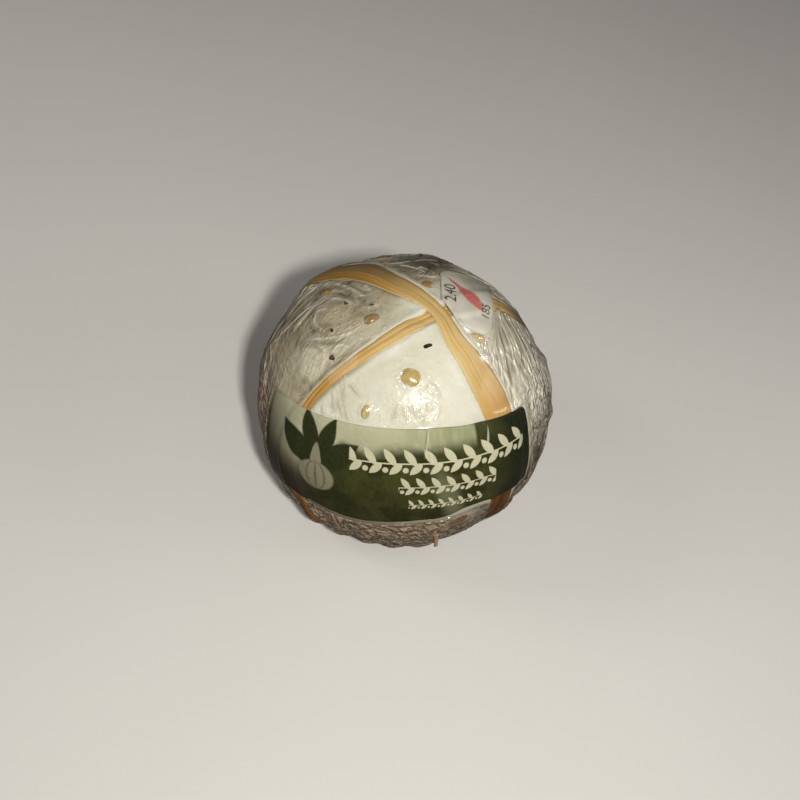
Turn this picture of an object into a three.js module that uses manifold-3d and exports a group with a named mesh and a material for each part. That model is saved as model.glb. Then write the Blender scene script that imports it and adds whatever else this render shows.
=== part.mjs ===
// A gaperon: a domed garlic and pepper cheese, tied with two flat raffia bands that cross on top,
// wrapped tight in clear film, with a long curved label round the front and a small price sticker.
// Millimetres, +Z up, the front towards -Y. The flat foot stands on z = 0 under the origin.
import * as THREE from "three";
import { mergeVertices } from "three/addons/utils/BufferGeometryUtils.js";
import Module from "manifold-3d";

// The cheese in its film: a ball cut flat below, with its bottom edge rounded over.
const BALL_RADIUS = 48;
const FOOT_DROP = 32;
const ROUND_OVER = 8;
const BALL_FACETS = 15;

// Places on the ball are [angle from the top, turn round from the front towards +X], in degrees.
// Each swell is a broad rise or dent in the hand-shaped form.
const SWELLS = [
  { at: [63.6, -114.6], rise: 2.6, reach: 13 },
  { at: [80.6, -88.9], rise: 0.9, reach: 16 },
  { at: [46.7, -165.9], rise: 1.0, reach: 9 },
  { at: [55.8, 130.2], rise: -1.6, reach: 14 },
  { at: [65.9, 110.6], rise: 0.7, reach: 9 },
  { at: [106.9, 47.4], rise: -2.5, reach: 15 },
  { at: [115.4, -21.6], rise: 0.6, reach: 8 },
];
const LUMP = 0.4;
const SMALL_LUMP = 0.2;

// Film drawn down and gathered round the lower half.
const GATHER = 0.4;
const GATHER_COUNT = 26;
const GATHER_START = 70;
const GATHER_FULL = 100;
const GATHER_DRIFT = 1.5;

// Flat raffia, one strip thick. It lies in a channel, and the film slopes down from it on both sides.
const RAFFIA_THICK = 0.8;
const GAP = 0.3;
const TENT_RISE = 0.5;
const TENT_SLOPE = 3;
const CROSSING_RISE = 0.3;
const CROSSING_REACH = 7;
const UNDER_DIP = 1.15;
const DIP_FLAT = 4.5;
const DIP_END = 11;
const FOOT_INSET = 0.3;
const FOOT_START = 110;
const FOOT_FULL = 125;
const CHANNEL_CLEAR = 2;
const BAND_STEPS = 84;
const ROUTE_STEPS = 320;

// Each leg of raffia as [angle from the top, turn, width], from the pinched crossing to the foot.
const LEG_BACK_LEFT = [
  [12, -120, 6.4],
  [19, -117, 8.2],
  [30, -118, 9.6],
  [42, -120, 12.4],
  [64, -121, 11.8],
  [95, -120, 11],
  [130, -119, 9],
  [180, -118, 5],
];
const LEG_FRONT_RIGHT = [
  [12, 47, 6.8],
  [20, 53, 8.4],
  [30, 56, 10.2],
  [42, 57.4, 10.7],
  [84, 55, 9.6],
  [130, 59, 8],
  [180, 62, 5],
];
const LEG_FRONT_LEFT = [
  [12, -38.5, 4.8],
  [22, -39, 4.5],
  [35, -40.3, 3.9],
  [46, -41, 3.3],
  [58, -40.3, 3.1],
  [80, -35, 5],
  [101, -22, 7],
  [125, -11, 6],
  [180, -10, 5],
];
const LEG_BACK_RIGHT = [
  [12, 138, 5.4],
  [28, 137, 6.6],
  [45, 132, 7.4],
  [75, 142, 8],
  [100, 154, 7],
  [125, 168, 6],
  [180, 170, 5],
];
const CROSSING_WIDTH = 5;

// The label bends round its own axis, so its long edges are arcs that rise towards the right end.
// Its outline is hand cut: each row is [along, height above, depth below] from its middle.
const LABEL_AXIS = [25.5, -138.9];
const LABEL_FROM_AXIS = 86.3;
const LABEL_TURN = 148.5;
const LABEL_LENGTH = 97;
const LABEL_OUTLINE = [
  [-48.5, 15.4, 14],
  [-30, 16.4, 16],
  [-12, 16.6, 18.4],
  [12, 16.6, 15.8],
  [26, 15.8, 12.6],
  [48.5, 14.2, 12.8],
];
const LABEL_CORNER = 2.5;
const LABEL_LIFT = 0.35;
const LABEL_COLUMNS = 25;
const LABEL_ROWS = 7;

// The price sticker, near the crossing. Its heading is the turn that its long side points to.
const STICKER_AT = [16.6, 150];
const STICKER_HEADING = 191;
const STICKER_LENGTH = 27;
const STICKER_WIDTH = 17.5;
const STICKER_CORNER = 5;
const STICKER_COLUMNS = 8;
const STICKER_ROWS = 5;
const PAPER_THICK = 0.4;
const CORNER_SHARES = [0, 0.2, 0.5];

// The loose end of raffia that pokes out below the label.
const END_TURN = 30.5;
const END_SPAN = [92, 102];
const END_WIDTH = 1.5;
const END_TAPER = 0.35;
const END_LIFT = 1.8;
const END_STEPS = 6;

// Garlic pieces and pepper grains that stand proud under the film, each as
// [angle, turn, length, width, lie]. The lie is the angle from the parallel to the long side.
const BIT_PROUD = 0.9;
const BIT_SUNK = 0.55;
const GARLIC_SEEN = [
  [27.2, -2, 6.2, 5.4, -10],
  [17, 82, 5.4, 3.4, -65],
  [45.2, -16.5, 4.4, 2.6, -72],
  [23.8, -68, 5.3, 3.6, 108],
  [46.7, -98, 4.6, 2.8, 100],
  [69.7, -77.8, 3.5, 2.4, 120],
  [14.6, -150, 4, 3, 150],
  [82.5, 36.5, 4.4, 2.6, 40],
];
const PEPPER_SEEN = [
  [14.4, 4, 3.4, 1.4, 32],
  [24.2, -84, 2.2, 1.2, 106],
  [34.7, -88, 2.6, 1.6, 50],
  [41.5, -51, 2.4, 1.8, 36],
  [39.2, -68, 1.6, 1.4, 0],
];

// Bits on the sides that face away: how many of each, [length, width], and where they may lie.
const BACK_COUNT = 9;
const BACK_GARLIC_SIZE = [4.4, 3.2];
const BACK_PEPPER_SIZE = [2.2, 1.6];
const BACK_TRIES = 60;
const BACK_STRIDE = 0.618034;
const BACK_LEVEL_STRIDE = 0.754878;
const BACK_LIE_STEP = 137.5;
const SIZE_SPREAD = 0.25;
const BACK_TURNS = [95, 260];
const BACK_ANGLES = [32, 108];
const BIT_CLEARANCE = 3.4;

const DEG = Math.PI / 180;
const UP = new THREE.Vector3(0, 0, 1);

function direction([angle, turn]) {
  const flat = Math.sin(angle * DEG);
  return new THREE.Vector3(
    flat * Math.sin(turn * DEG),
    -flat * Math.cos(turn * DEG),
    Math.cos(angle * DEG),
  );
}

function smooth(t) {
  const c = THREE.MathUtils.clamp(t, 0, 1);
  return c * c * (3 - 2 * c);
}

// The smaller of two radii, with a round fillet where they are nearly equal.
function blendMin(a, b, reach) {
  const near = Math.max(reach - Math.abs(a - b), 0) / reach;
  return Math.min(a, b) - (near * near * reach) / 4;
}

// A leg is drawn on a flat map round the crossing: distance is the angle from the top, and the
// third coordinate is the strip's width.
function legPoints(leg) {
  return leg.map(([angle, turn, width]) => {
    const east = angle * Math.sin(turn * DEG);
    const north = -angle * Math.cos(turn * DEG);
    return new THREE.Vector3(east, north, width);
  });
}

// One loop of raffia from the foot, over the crossing and back to the foot. Each sample has its
// direction from the ball's middle, its sideways direction, half its width and its distance in
// degrees from the crossing.
function bandRoute(legOut, legBack, steps) {
  const crossing = new THREE.Vector3(0, 0, CROSSING_WIDTH);
  const points = [...legPoints(legOut).reverse(), crossing, ...legPoints(legBack)];
  const curve = new THREE.CatmullRomCurve3(points, false, "centripetal");
  const samples = curve.getSpacedPoints(steps).slice(0, steps).map((p) => {
    const away = Math.hypot(p.x, p.y);
    const turn = Math.atan2(p.x, -p.y) / DEG;
    return { at: direction([away, turn]), half: p.z / 2, away };
  });
  samples.forEach((sample, i) => {
    const next = samples[(i + 1) % steps].at;
    const last = samples[(i + steps - 1) % steps].at;
    sample.side = next.clone().sub(last).cross(sample.at).normalize();
  });
  return samples;
}

const OVER_ROUTE = bandRoute(LEG_BACK_LEFT, LEG_FRONT_RIGHT, ROUTE_STEPS);
const UNDER_ROUTE = bandRoute(LEG_FRONT_LEFT, LEG_BACK_RIGHT, ROUTE_STEPS);

// Millimetres over the ball from a direction to the edge of a strip, negative on the strip.
function distanceToBand(d, route) {
  let nearest = Infinity;
  for (const sample of route) {
    const reach = d.angleTo(sample.at) * BALL_RADIUS - sample.half;
    nearest = Math.min(nearest, reach);
  }
  return nearest;
}

function bandDistance(d) {
  return Math.min(distanceToBand(d, OVER_ROUTE), distanceToBand(d, UNDER_ROUTE));
}

// The label's own frame: q is the axis that its long edges bend round.
const LABEL_Q = direction(LABEL_AXIS);
const LABEL_E = UP.clone().negate().addScaledVector(LABEL_Q, LABEL_Q.z).normalize();
const LABEL_S = LABEL_Q.clone().cross(LABEL_E);

// A point of the label from millimetres along it and down it, both from its middle.
function labelPoint(along, down) {
  const arm = BALL_RADIUS * Math.sin(LABEL_FROM_AXIS * DEG);
  const turn = LABEL_TURN * DEG + along / arm;
  const angle = LABEL_FROM_AXIS * DEG + down / BALL_RADIUS;
  const ray = LABEL_E.clone().multiplyScalar(Math.cos(turn));
  ray.addScaledVector(LABEL_S, Math.sin(turn)).multiplyScalar(Math.sin(angle));
  return ray.addScaledVector(LABEL_Q, Math.cos(angle));
}

// A value of a hand-cut outline at a place along it, eased from row to row.
function outlineAt(rows, along, column) {
  const last = rows.length - 2;
  let i = 0;
  while (i < last && along > rows[i + 1][0]) i++;
  const [from, to] = [rows[i], rows[i + 1]];
  const share = smooth((along - from[0]) / (to[0] - from[0]));
  return THREE.MathUtils.lerp(from[column], to[column], share);
}

// Millimetres from a direction to the label's outline, negative on the label.
function labelDistance(d) {
  const arm = BALL_RADIUS * Math.sin(LABEL_FROM_AXIS * DEG);
  const down = (d.angleTo(LABEL_Q) - LABEL_FROM_AXIS * DEG) * BALL_RADIUS;
  const turn = Math.atan2(d.dot(LABEL_S), d.dot(LABEL_E)) / DEG - LABEL_TURN;
  const along = (((turn + 540) % 360) - 180) * DEG * arm;
  const above = outlineAt(LABEL_OUTLINE, along, 1);
  const below = outlineAt(LABEL_OUTLINE, along, 2);
  return Math.max(Math.abs(along) - LABEL_LENGTH / 2, -down - above, down - below);
}

const STICKER_N = direction(STICKER_AT);
const STICKER_F = direction([90, STICKER_HEADING]);
STICKER_F.addScaledVector(STICKER_N, -STICKER_F.dot(STICKER_N)).normalize();
const STICKER_R = STICKER_F.clone().cross(STICKER_N);

// A point of the sticker from millimetres along and across, bent round the ball.
function stickerPoint(along, across) {
  const reach = Math.hypot(along, across) / BALL_RADIUS;
  const ray = STICKER_F.clone().multiplyScalar(along);
  ray.addScaledVector(STICKER_R, across).normalize().multiplyScalar(Math.sin(reach));
  return ray.addScaledVector(STICKER_N, Math.cos(reach));
}

function stickerDistance(d) {
  const reach = d.angleTo(STICKER_N) * BALL_RADIUS;
  const along = d.dot(STICKER_F);
  const across = d.dot(STICKER_R);
  const scale = reach / (Math.hypot(along, across) || 1);
  return Math.max(
    Math.abs(along) * scale - STICKER_LENGTH / 2,
    Math.abs(across) * scale - STICKER_WIDTH / 2,
  );
}

function swellRise(d) {
  let rise = 0;
  for (const swell of SWELLS) {
    const away = d.angleTo(direction(swell.at)) / DEG / swell.reach;
    rise += swell.rise * Math.exp(-away * away);
  }
  return rise;
}

function lumpRise({ x, y, z }) {
  const broad = Math.sin(5 * x + 1) * Math.sin(4 * y + 2);
  const small = Math.sin(9 * y + 1) * Math.sin(8 * z + 3);
  return LUMP * broad + SMALL_LUMP * small;
}

// Gathers fade in below the belly, and the label and sticker smooth them out.
function gatherRise(d) {
  const angle = Math.acos(THREE.MathUtils.clamp(d.z, -1, 1)) / DEG;
  const turn = Math.atan2(d.x, -d.y);
  const depth = smooth((angle - GATHER_START) / (GATHER_FULL - GATHER_START));
  const clear = smooth(labelDistance(d) / TENT_SLOPE - 1);
  const wave = Math.sin(GATHER_COUNT * turn + GATHER_DRIFT * Math.sin(3 * turn) + 2 * d.z);
  return GATHER * depth * clear * wave;
}

function tentRise(d) {
  const slope = 1 - smooth(bandDistance(d) / TENT_SLOPE);
  const away = (d.angleTo(UP) * BALL_RADIUS) / CROSSING_REACH;
  return TENT_RISE * slope + CROSSING_RISE * Math.exp(-away * away);
}

// The film's outer surface, as a radius from the ball's middle.
function filmRadius(d) {
  const dome = BALL_RADIUS + swellRise(d) + lumpRise(d) + gatherRise(d) + tentRise(d);
  const foot = FOOT_DROP / Math.max(-d.z, 0.01);
  return blendMin(dome, foot, ROUND_OVER);
}

function geometryFrom(points, faces) {
  const geometry = new THREE.BufferGeometry().setFromPoints(points);
  return geometry.setIndex(faces);
}

// A thin closed solid over a grid of directions: rows run along it, and each row runs across it,
// to the right of the way the rows go. A looped grid joins its last row to its first.
function sheetSolid(grid, outer, inner, looped) {
  const across = grid[0].length;
  const ring = 2 * across;
  const points = grid.flatMap((row, i) => {
    const top = row.map((d) => d.clone().multiplyScalar(outer(d, i)));
    const bottom = row.map((d) => d.clone().multiplyScalar(inner(d, i)));
    return [...top, ...bottom.reverse()];
  });
  const faces = [];
  const quad = (a, b, c, d) => faces.push(a, b, c, a, c, d);
  const spans = looped ? grid.length : grid.length - 1;
  for (let i = 0; i < spans; i++) {
    const here = i * ring;
    const next = ((i + 1) % grid.length) * ring;
    for (let j = 0; j < ring; j++) {
      const k = (j + 1) % ring;
      quad(here + j, here + k, next + k, next + j);
    }
  }
  if (!looped) {
    const last = (grid.length - 1) * ring;
    for (let j = 0; j < across - 1; j++) {
      const under = ring - 1 - j;
      quad(j, under, under - 1, j + 1);
      quad(last + j, last + j + 1, last + under - 1, last + under);
    }
  }
  return geometryFrom(points, faces);
}

const wasm = await Module();
wasm.setup();

function solidOf(geometry) {
  const bare = geometry.clone();
  bare.deleteAttribute("normal");
  bare.deleteAttribute("uv");
  const merged = mergeVertices(bare, 1e-4);
  return new wasm.Manifold(
    new wasm.Mesh({
      numProp: 3,
      vertProperties: merged.attributes.position.array,
      triVerts: new Uint32Array(merged.index.array),
    }),
  );
}

function geometryOf(solid) {
  const mesh = solid.getMesh();
  const places = new THREE.BufferAttribute(mesh.vertProperties, mesh.numProp);
  const geometry = new THREE.BufferGeometry().setAttribute("position", places);
  geometry.setIndex(new THREE.BufferAttribute(mesh.triVerts, 1));
  geometry.computeVertexNormals();
  return geometry;
}

// How far a strip lies below the film: the under strip dips at both crossings, and both strips
// stay a little above the foot.
function bandInset(sample, isUnder) {
  const nearFoot = (sample.away - FOOT_START) / (FOOT_FULL - FOOT_START);
  const foot = FOOT_INSET * smooth(nearFoot);
  if (!isUnder) return foot;
  const fromCrossing = Math.min(sample.away, 180 - sample.away) * DEG * BALL_RADIUS;
  const dip = 1 - smooth((fromCrossing - DIP_FLAT) / (DIP_END - DIP_FLAT));
  return foot + UNDER_DIP * dip;
}

// A strip of raffia when grow is 0, and the channel cut for it when grow is the gap.
function bandSolid(route, isUnder, grow) {
  const stride = ROUTE_STEPS / BAND_STEPS;
  const rows = [];
  for (let i = 0; i < BAND_STEPS; i++) {
    rows.push(route[Math.round(i * stride) % ROUTE_STEPS]);
  }
  const grid = rows.map((sample) => {
    const half = (sample.half + grow) / filmRadius(sample.at);
    return [-1, 0, 1].map((edge) => {
      return sample.at.clone().addScaledVector(sample.side, edge * half).normalize();
    });
  });
  const surface = (d, i) => filmRadius(d) - bandInset(rows[i], isUnder);
  const outer = (d, i) => (grow ? filmRadius(d) + CHANNEL_CLEAR : surface(d, i));
  const inner = (d, i) => surface(d, i) - RAFFIA_THICK - grow;
  return sheetSolid(grid, outer, inner, true);
}

// One piece of garlic or pepper, half sunk in the film.
function bitSolid([angle, turn, length, width, lie], facets) {
  const bit = new THREE.IcosahedronGeometry(1, facets);
  const at = direction([angle, turn]);
  const east = UP.clone().cross(at).normalize();
  const north = at.clone().cross(east);
  const turned = new THREE.Matrix4().makeBasis(east, north, at);
  bit.scale(length / 2, width / 2, BIT_PROUD + BIT_SUNK);
  bit.rotateZ(lie * DEG);
  bit.applyMatrix4(turned);
  const middle = at.clone().multiplyScalar(filmRadius(at) - BIT_SUNK);
  bit.translate(middle.x, middle.y, middle.z);
  return solidOf(bit);
}

// Bits on the sides that face away. Even strides round and down keep them apart without a pattern,
// and any that would touch a band or a paper is passed over.
function backBits([length, width], phase) {
  const bits = [];
  for (let i = 0; bits.length < BACK_COUNT && i < BACK_TRIES; i++) {
    const share = (i * BACK_STRIDE + phase) % 1;
    const level = ((i + 0.5) * BACK_LEVEL_STRIDE) % 1;
    const angle = THREE.MathUtils.lerp(BACK_ANGLES[0], BACK_ANGLES[1], level);
    const turn = THREE.MathUtils.lerp(BACK_TURNS[0], BACK_TURNS[1], share);
    const size = 1 + SIZE_SPREAD * Math.sin(7 * i + phase);
    const d = direction([angle, turn]);
    const free = Math.min(bandDistance(d), labelDistance(d), stickerDistance(d));
    const lie = BACK_LIE_STEP * i;
    if (free > BIT_CLEARANCE) bits.push([angle, turn, length * size, width * size, lie]);
  }
  return bits;
}

function wrappedCheese() {
  const skin = new THREE.IcosahedronGeometry(1, BALL_FACETS);
  skin.deleteAttribute("normal");
  skin.deleteAttribute("uv");
  const form = mergeVertices(skin, 1e-4);
  const places = form.attributes.position;
  const d = new THREE.Vector3();
  for (let i = 0; i < places.count; i++) {
    d.fromBufferAttribute(places, i).normalize();
    d.multiplyScalar(filmRadius(d));
    places.setXYZ(i, d.x, d.y, d.z);
  }
  let solid = solidOf(form);
  solid = solid.subtract(solidOf(bandSolid(OVER_ROUTE, false, GAP)));
  solid = solid.subtract(solidOf(bandSolid(UNDER_ROUTE, true, GAP)));
  const garlic = [...GARLIC_SEEN, ...backBits(BACK_GARLIC_SIZE, 0.2)];
  const pepper = [...PEPPER_SEEN, ...backBits(BACK_PEPPER_SIZE, 0.55)];
  for (const bit of garlic) solid = solid.add(bitSolid(bit, 1));
  for (const bit of pepper) solid = solid.add(bitSolid(bit, 0));
  return geometryOf(solid);
}

// Places along a paper from end to end, closer together where its round corners need them.
function spacing(half, corner, count) {
  const straight = half - corner;
  const inside = [];
  for (let i = 0; i <= count; i++) inside.push(THREE.MathUtils.lerp(-straight, straight, i / count));
  const ends = CORNER_SHARES.map((share) => half - share * corner);
  return [...ends.map((x) => -x), ...inside, ...ends.reverse()];
}

// How much a round corner takes off the height near either end.
function cornerCut(along, length, corner) {
  const past = Math.max(Math.abs(along) - (length / 2 - corner), 0);
  return corner - Math.sqrt(corner * corner - past * past);
}

// Paper laid on the film: each of its columns runs down from top to bottom edge.
function paperSolid(columns, rows, lift, place) {
  const grid = columns.map(({ along, above, below }) => {
    const row = [];
    for (let j = 0; j <= rows; j++) {
      row.push(place(along, THREE.MathUtils.lerp(-above, below, j / rows)));
    }
    return row;
  });
  const inner = (d) => filmRadius(d) + lift;
  const outer = (d) => filmRadius(d) + lift + PAPER_THICK;
  return sheetSolid(grid, outer, inner, false);
}

function labelSolid() {
  const places = spacing(LABEL_LENGTH / 2, LABEL_CORNER, LABEL_COLUMNS);
  const columns = places.map((along) => {
    const cut = cornerCut(along, LABEL_LENGTH, LABEL_CORNER);
    const above = outlineAt(LABEL_OUTLINE, along, 1) - cut;
    return { along, above, below: outlineAt(LABEL_OUTLINE, along, 2) - cut };
  });
  return paperSolid(columns, LABEL_ROWS, LABEL_LIFT, labelPoint);
}

function stickerSolid() {
  const places = spacing(STICKER_LENGTH / 2, STICKER_CORNER, STICKER_COLUMNS);
  const columns = places.map((along) => {
    const half = STICKER_WIDTH / 2 - cornerCut(along, STICKER_LENGTH, STICKER_CORNER);
    return { along, above: half, below: half };
  });
  return paperSolid(columns, STICKER_ROWS, LABEL_LIFT, stickerPoint);
}

// The loose end lies on the film and springs away from it towards its tip.
function raffiaEndSolid() {
  const shares = [];
  for (let i = 0; i <= END_STEPS; i++) shares.push(i / END_STEPS);
  const grid = shares.map((share) => {
    const angle = THREE.MathUtils.lerp(END_SPAN[0], END_SPAN[1], share);
    const half = ((1 - END_TAPER * share) * END_WIDTH) / 2 / BALL_RADIUS / DEG;
    return [-half, 0, half].map((shift) => direction([angle, END_TURN - shift]));
  });
  const inner = (d, i) => filmRadius(d) + GAP + END_LIFT * shares[i] ** 2;
  const outer = (d, i) => inner(d, i) + RAFFIA_THICK;
  return sheetSolid(grid, outer, inner, false);
}

const film = new THREE.MeshStandardMaterial({ color: 0xe2dcc8, roughness: 0.25 });
const raffia = new THREE.MeshStandardMaterial({ color: 0xc99a52, roughness: 0.6 });
const greenPaper = new THREE.MeshStandardMaterial({ color: 0x2f3b24, roughness: 0.5 });
const whitePaper = new THREE.MeshStandardMaterial({ color: 0xd9dcd8, roughness: 0.5 });

const gaperon = new THREE.Group();
gaperon.position.z = FOOT_DROP;

function addPiece(name, geometry, material) {
  const piece = new THREE.Mesh(geometry, material);
  piece.name = name;
  gaperon.add(piece);
}

addPiece("wrapped_cheese", wrappedCheese(), film);
addPiece("raffia_band_over", bandSolid(OVER_ROUTE, false, 0), raffia);
addPiece("raffia_band_under", bandSolid(UNDER_ROUTE, true, 0), raffia);
addPiece("raffia_end", raffiaEndSolid(), raffia);
addPiece("label", labelSolid(), greenPaper);
addPiece("price_sticker", stickerSolid(), whitePaper);

export default gaperon;
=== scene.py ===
# %% [markdown]
# # A gaperon in its clear film
# The object is a small domed cheese with garlic and pepper in it. It is tied with two flat bands of
# raffia that cross on top, carries a long paper label and a price sticker, and is wrapped tight in
# clear film. We build it from the inside out: the garlic and pepper, the cheese that holds them, the
# raffia, the papers, and last the film that goes over all of them.
#
# The CAD model gives the frame: its solids say where each piece lies and how large it is. Here each
# solid is replaced by a finer piece of the same form, with a real finish.

# %% Load the frame
import math
from types import SimpleNamespace

import bmesh
import bpy
import numpy as np
from mathutils import Matrix, Vector, noise


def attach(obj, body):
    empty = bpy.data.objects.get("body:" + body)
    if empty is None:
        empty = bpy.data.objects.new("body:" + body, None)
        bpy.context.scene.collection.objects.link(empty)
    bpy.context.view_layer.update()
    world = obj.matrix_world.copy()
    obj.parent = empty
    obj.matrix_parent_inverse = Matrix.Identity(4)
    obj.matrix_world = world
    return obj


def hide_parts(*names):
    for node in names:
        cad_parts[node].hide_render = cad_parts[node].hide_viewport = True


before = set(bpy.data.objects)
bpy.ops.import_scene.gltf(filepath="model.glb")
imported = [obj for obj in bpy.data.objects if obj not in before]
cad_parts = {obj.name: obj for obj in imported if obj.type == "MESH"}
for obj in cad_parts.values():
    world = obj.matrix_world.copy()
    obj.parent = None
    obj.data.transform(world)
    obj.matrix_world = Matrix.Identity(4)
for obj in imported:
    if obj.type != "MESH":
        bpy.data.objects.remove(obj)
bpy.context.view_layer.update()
scene = bpy.context.scene
print("nodes:", ", ".join(sorted(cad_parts)))

# %% [markdown]
# ## Camera
# The picture is taken with a normal lens from a step away, looking down at the dome. The camera
# also leans: the top of the cheese points a little to the right. We build the camera's axes from an
# elevation and a roll, which is easier to read than three Euler angles. A very small shift sets the
# cheese just off the middle of the frame.

# %% Place the camera
MM = 0.001
FOOT_DROP = 32.0
BALL_MIDDLE = Vector((0, 0, FOOT_DROP * MM))
CAMERA_AWAY = 334.5 * MM
CAMERA_ELEVATION = math.radians(54.24)
CAMERA_ROLL = math.radians(20.34)
SENSOR_WIDTH, LENS = 36, 45
SHIFT_RIGHT, SHIFT_UP = -0.00625, 0.0025

camera = bpy.data.objects.new("camera", bpy.data.cameras.new("camera"))
scene.collection.objects.link(camera)
camera.data.sensor_width = SENSOR_WIDTH
camera.data.lens = LENS
camera.data.shift_x = SHIFT_RIGHT
camera.data.shift_y = SHIFT_UP
camera.data.clip_start = 0.01

back = Vector((0, -math.cos(CAMERA_ELEVATION), math.sin(CAMERA_ELEVATION)))
level_right = Vector((1, 0, 0))
level_up = back.cross(level_right)
right = level_right * math.cos(CAMERA_ROLL) + level_up * math.sin(CAMERA_ROLL)
up = back.cross(right)
turned = Matrix((right, up, back)).transposed().to_4x4()
camera.matrix_world = Matrix.Translation(BALL_MIDDLE + back * CAMERA_AWAY) @ turned
scene.camera = camera
print("camera at", [round(x, 3) for x in camera.location])

# %% [markdown]
# ## Places on the ball
# Everything lies on one rounded form, so a place is written as two angles: how far it is from the
# top, and how far round from the front. With numpy one call works on all the points of a mesh at
# once, which keeps a mesh of a hundred thousand points quick. All of the next cells work in
# millimetres, in a frame whose origin is the middle of the ball.
#
# Nothing on a real cheese starts at a hard line. `rise` and `fall` ease from 0 to 1 and back between
# two values, `bell` is a soft hump, and `blob` is a hump round one place. Most shapes and masks below
# are products of these.

# %% Angles, easing and noise
BALL_RADIUS = 48.0
ROUND_OVER = 8.0


def direction(angle, turn):
    """Unit vectors for angles from the top and turns from the front, both in degrees."""
    angle, turn = np.radians(angle), np.radians(turn)
    flat = np.sin(angle)
    return np.stack([flat * np.sin(turn), -flat * np.cos(turn), np.cos(angle) + 0 * turn], -1)


def angles_of(d):
    """The two angles, in degrees, of unit vectors. The turn runs from -180 to 180."""
    angle = np.degrees(np.arccos(np.clip(d[:, 2], -1, 1)))
    return angle, np.degrees(np.arctan2(d[:, 0], -d[:, 1]))


def unit(v):
    return v / np.linalg.norm(v, axis=-1, keepdims=True)


def smooth(t):
    t = np.clip(t, 0, 1)
    return t * t * (3 - 2 * t)


def rise(values, low, high):
    """0 up to low, eased to 1 at high."""
    return smooth((values - low) / (high - low))


def fall(values, low, high):
    """1 up to low, eased to 0 at high."""
    return smooth((high - values) / (high - low))


def bell(values, width, power=2):
    """1 where values are 0, fading to 0 past width on both sides. A power of 4 has a flat top."""
    return np.exp(-((values / width) ** power))


def noise_at(points, seed=0.0):
    """Blender's own smooth noise at each point, about -1 to 1."""
    return np.array([noise.noise(Vector(p)) for p in points + 7.3 * seed])


def degrees_from(d, place):
    """How many degrees each direction is from a place on the ball."""
    return np.degrees(np.arccos(np.clip(d @ direction(*place), -1, 1)))


def blob(d, place, reach):
    """1 at a place on the ball, fading to 0 a little past reach degrees away."""
    return bell(degrees_from(d, place), reach)


def spotted(d, spots):
    """The sum of blobs, each given as its place, its reach and its strength."""
    return sum(strength * blob(d, place, reach) for place, reach, strength in spots)


# %% [markdown]
# ## The raffia's routes
# Each band is one loop that goes over the top, down both sides and under the foot. Its legs are lists of a
# few points, and a smooth curve runs through them. The third number of a point is the width of the band
# there, so the curve eases the width too.

# %% Route the two bands
LEG_BACK_LEFT = [[12, -120, 6.4], [19, -117, 8.2], [30, -118, 9.6], [42, -119, 12.6], [64, -114.5, 13.2],
                 [92, -111, 11.6], [130, -117, 9], [180, -118, 5]]
LEG_FRONT_RIGHT = [[12, 47, 6.8], [20, 53, 8.4], [30, 56, 10.2], [42, 57.4, 10.7], [84, 55, 9.6],
                   [130, 59, 8], [180, 62, 5]]
LEG_FRONT_LEFT = [[12, -38.5, 4.8], [22, -39, 4.5], [35, -40.3, 3.9], [46, -41, 3.3], [58, -40.3, 3.1],
                  [80, -36, 5], [101, -25, 6.5], [125, -12, 6], [180, -10, 5]]
LEG_BACK_RIGHT = [[12, 138, 5.4], [28, 137, 6.6], [45, 132, 7.4], [75, 142, 8], [100, 154, 7],
                  [125, 168, 6], [180, 170, 5]]
CROSSING_WIDTH = 5.0
ROUTE_STEPS = 480


def through(points, per_span=40):
    """A smooth curve through points: a centripetal Catmull-Rom spline."""
    p = np.array(points, float)
    p = np.vstack([2 * p[0] - p[1], p, 2 * p[-1] - p[-2]])
    knot = np.concatenate([[0], np.cumsum(np.linalg.norm(np.diff(p, axis=0), axis=1) ** 0.5)])
    spans = []
    for i in range(1, len(p) - 2):
        t = np.linspace(knot[i], knot[i + 1], per_span, endpoint=False)[:, None]

        def mix(low, high, start, end):
            return ((knot[end] - t) * low + (t - knot[start]) * high) / (knot[end] - knot[start])

        first = [mix(p[k], p[k + 1], k, k + 1) for k in (i - 1, i, i + 1)]
        second = [mix(first[0], first[1], i - 1, i + 1), mix(first[1], first[2], i, i + 2)]
        spans.append(mix(second[0], second[1], i, i + 1))
    return np.vstack(spans + [p[-2:-1]])


def on_flat_map(leg):
    """A leg on a flat map round the crossing, where distance is the angle from the top."""
    angle, turn, width = np.array(leg, float).T
    turn = np.radians(turn)
    return np.stack([angle * np.sin(turn), -angle * np.cos(turn), width], -1)


def band_route(leg_out, leg_back):
    points = [*on_flat_map(leg_out)[::-1], [0, 0, CROSSING_WIDTH], *on_flat_map(leg_back)]
    curve = through(points)
    run = np.concatenate([[0], np.cumsum(np.linalg.norm(np.diff(curve, axis=0), axis=1))])
    even = np.linspace(0, run[-1], ROUTE_STEPS, endpoint=False)
    east, north, width = (np.interp(even, run, curve[:, k]) for k in range(3))
    away = np.hypot(east, north)
    at = direction(away, np.degrees(np.arctan2(east, -north)))
    side = unit(np.cross(np.roll(at, -1, 0) - np.roll(at, 1, 0), at))
    return SimpleNamespace(at=at, side=side, half=width / 2, away=away)


over_route = band_route(LEG_BACK_LEFT, LEG_FRONT_RIGHT)
under_route = band_route(LEG_FRONT_LEFT, LEG_BACK_RIGHT)
for name, route in (("over", over_route), ("under", under_route)):
    print("band", name, "is", round(route.half.min() * 2, 1), "to", round(route.half.max() * 2, 1), "mm wide")

# %% [markdown]
# ## Distances to bands and papers
# To press the raffia into the cheese, or to lift the film over the label, we ask of every point how
# far it is from the edge of each. A distance is negative inside. Eased with `smooth`, one distance
# gives grooves, slopes and masks alike.

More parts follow.
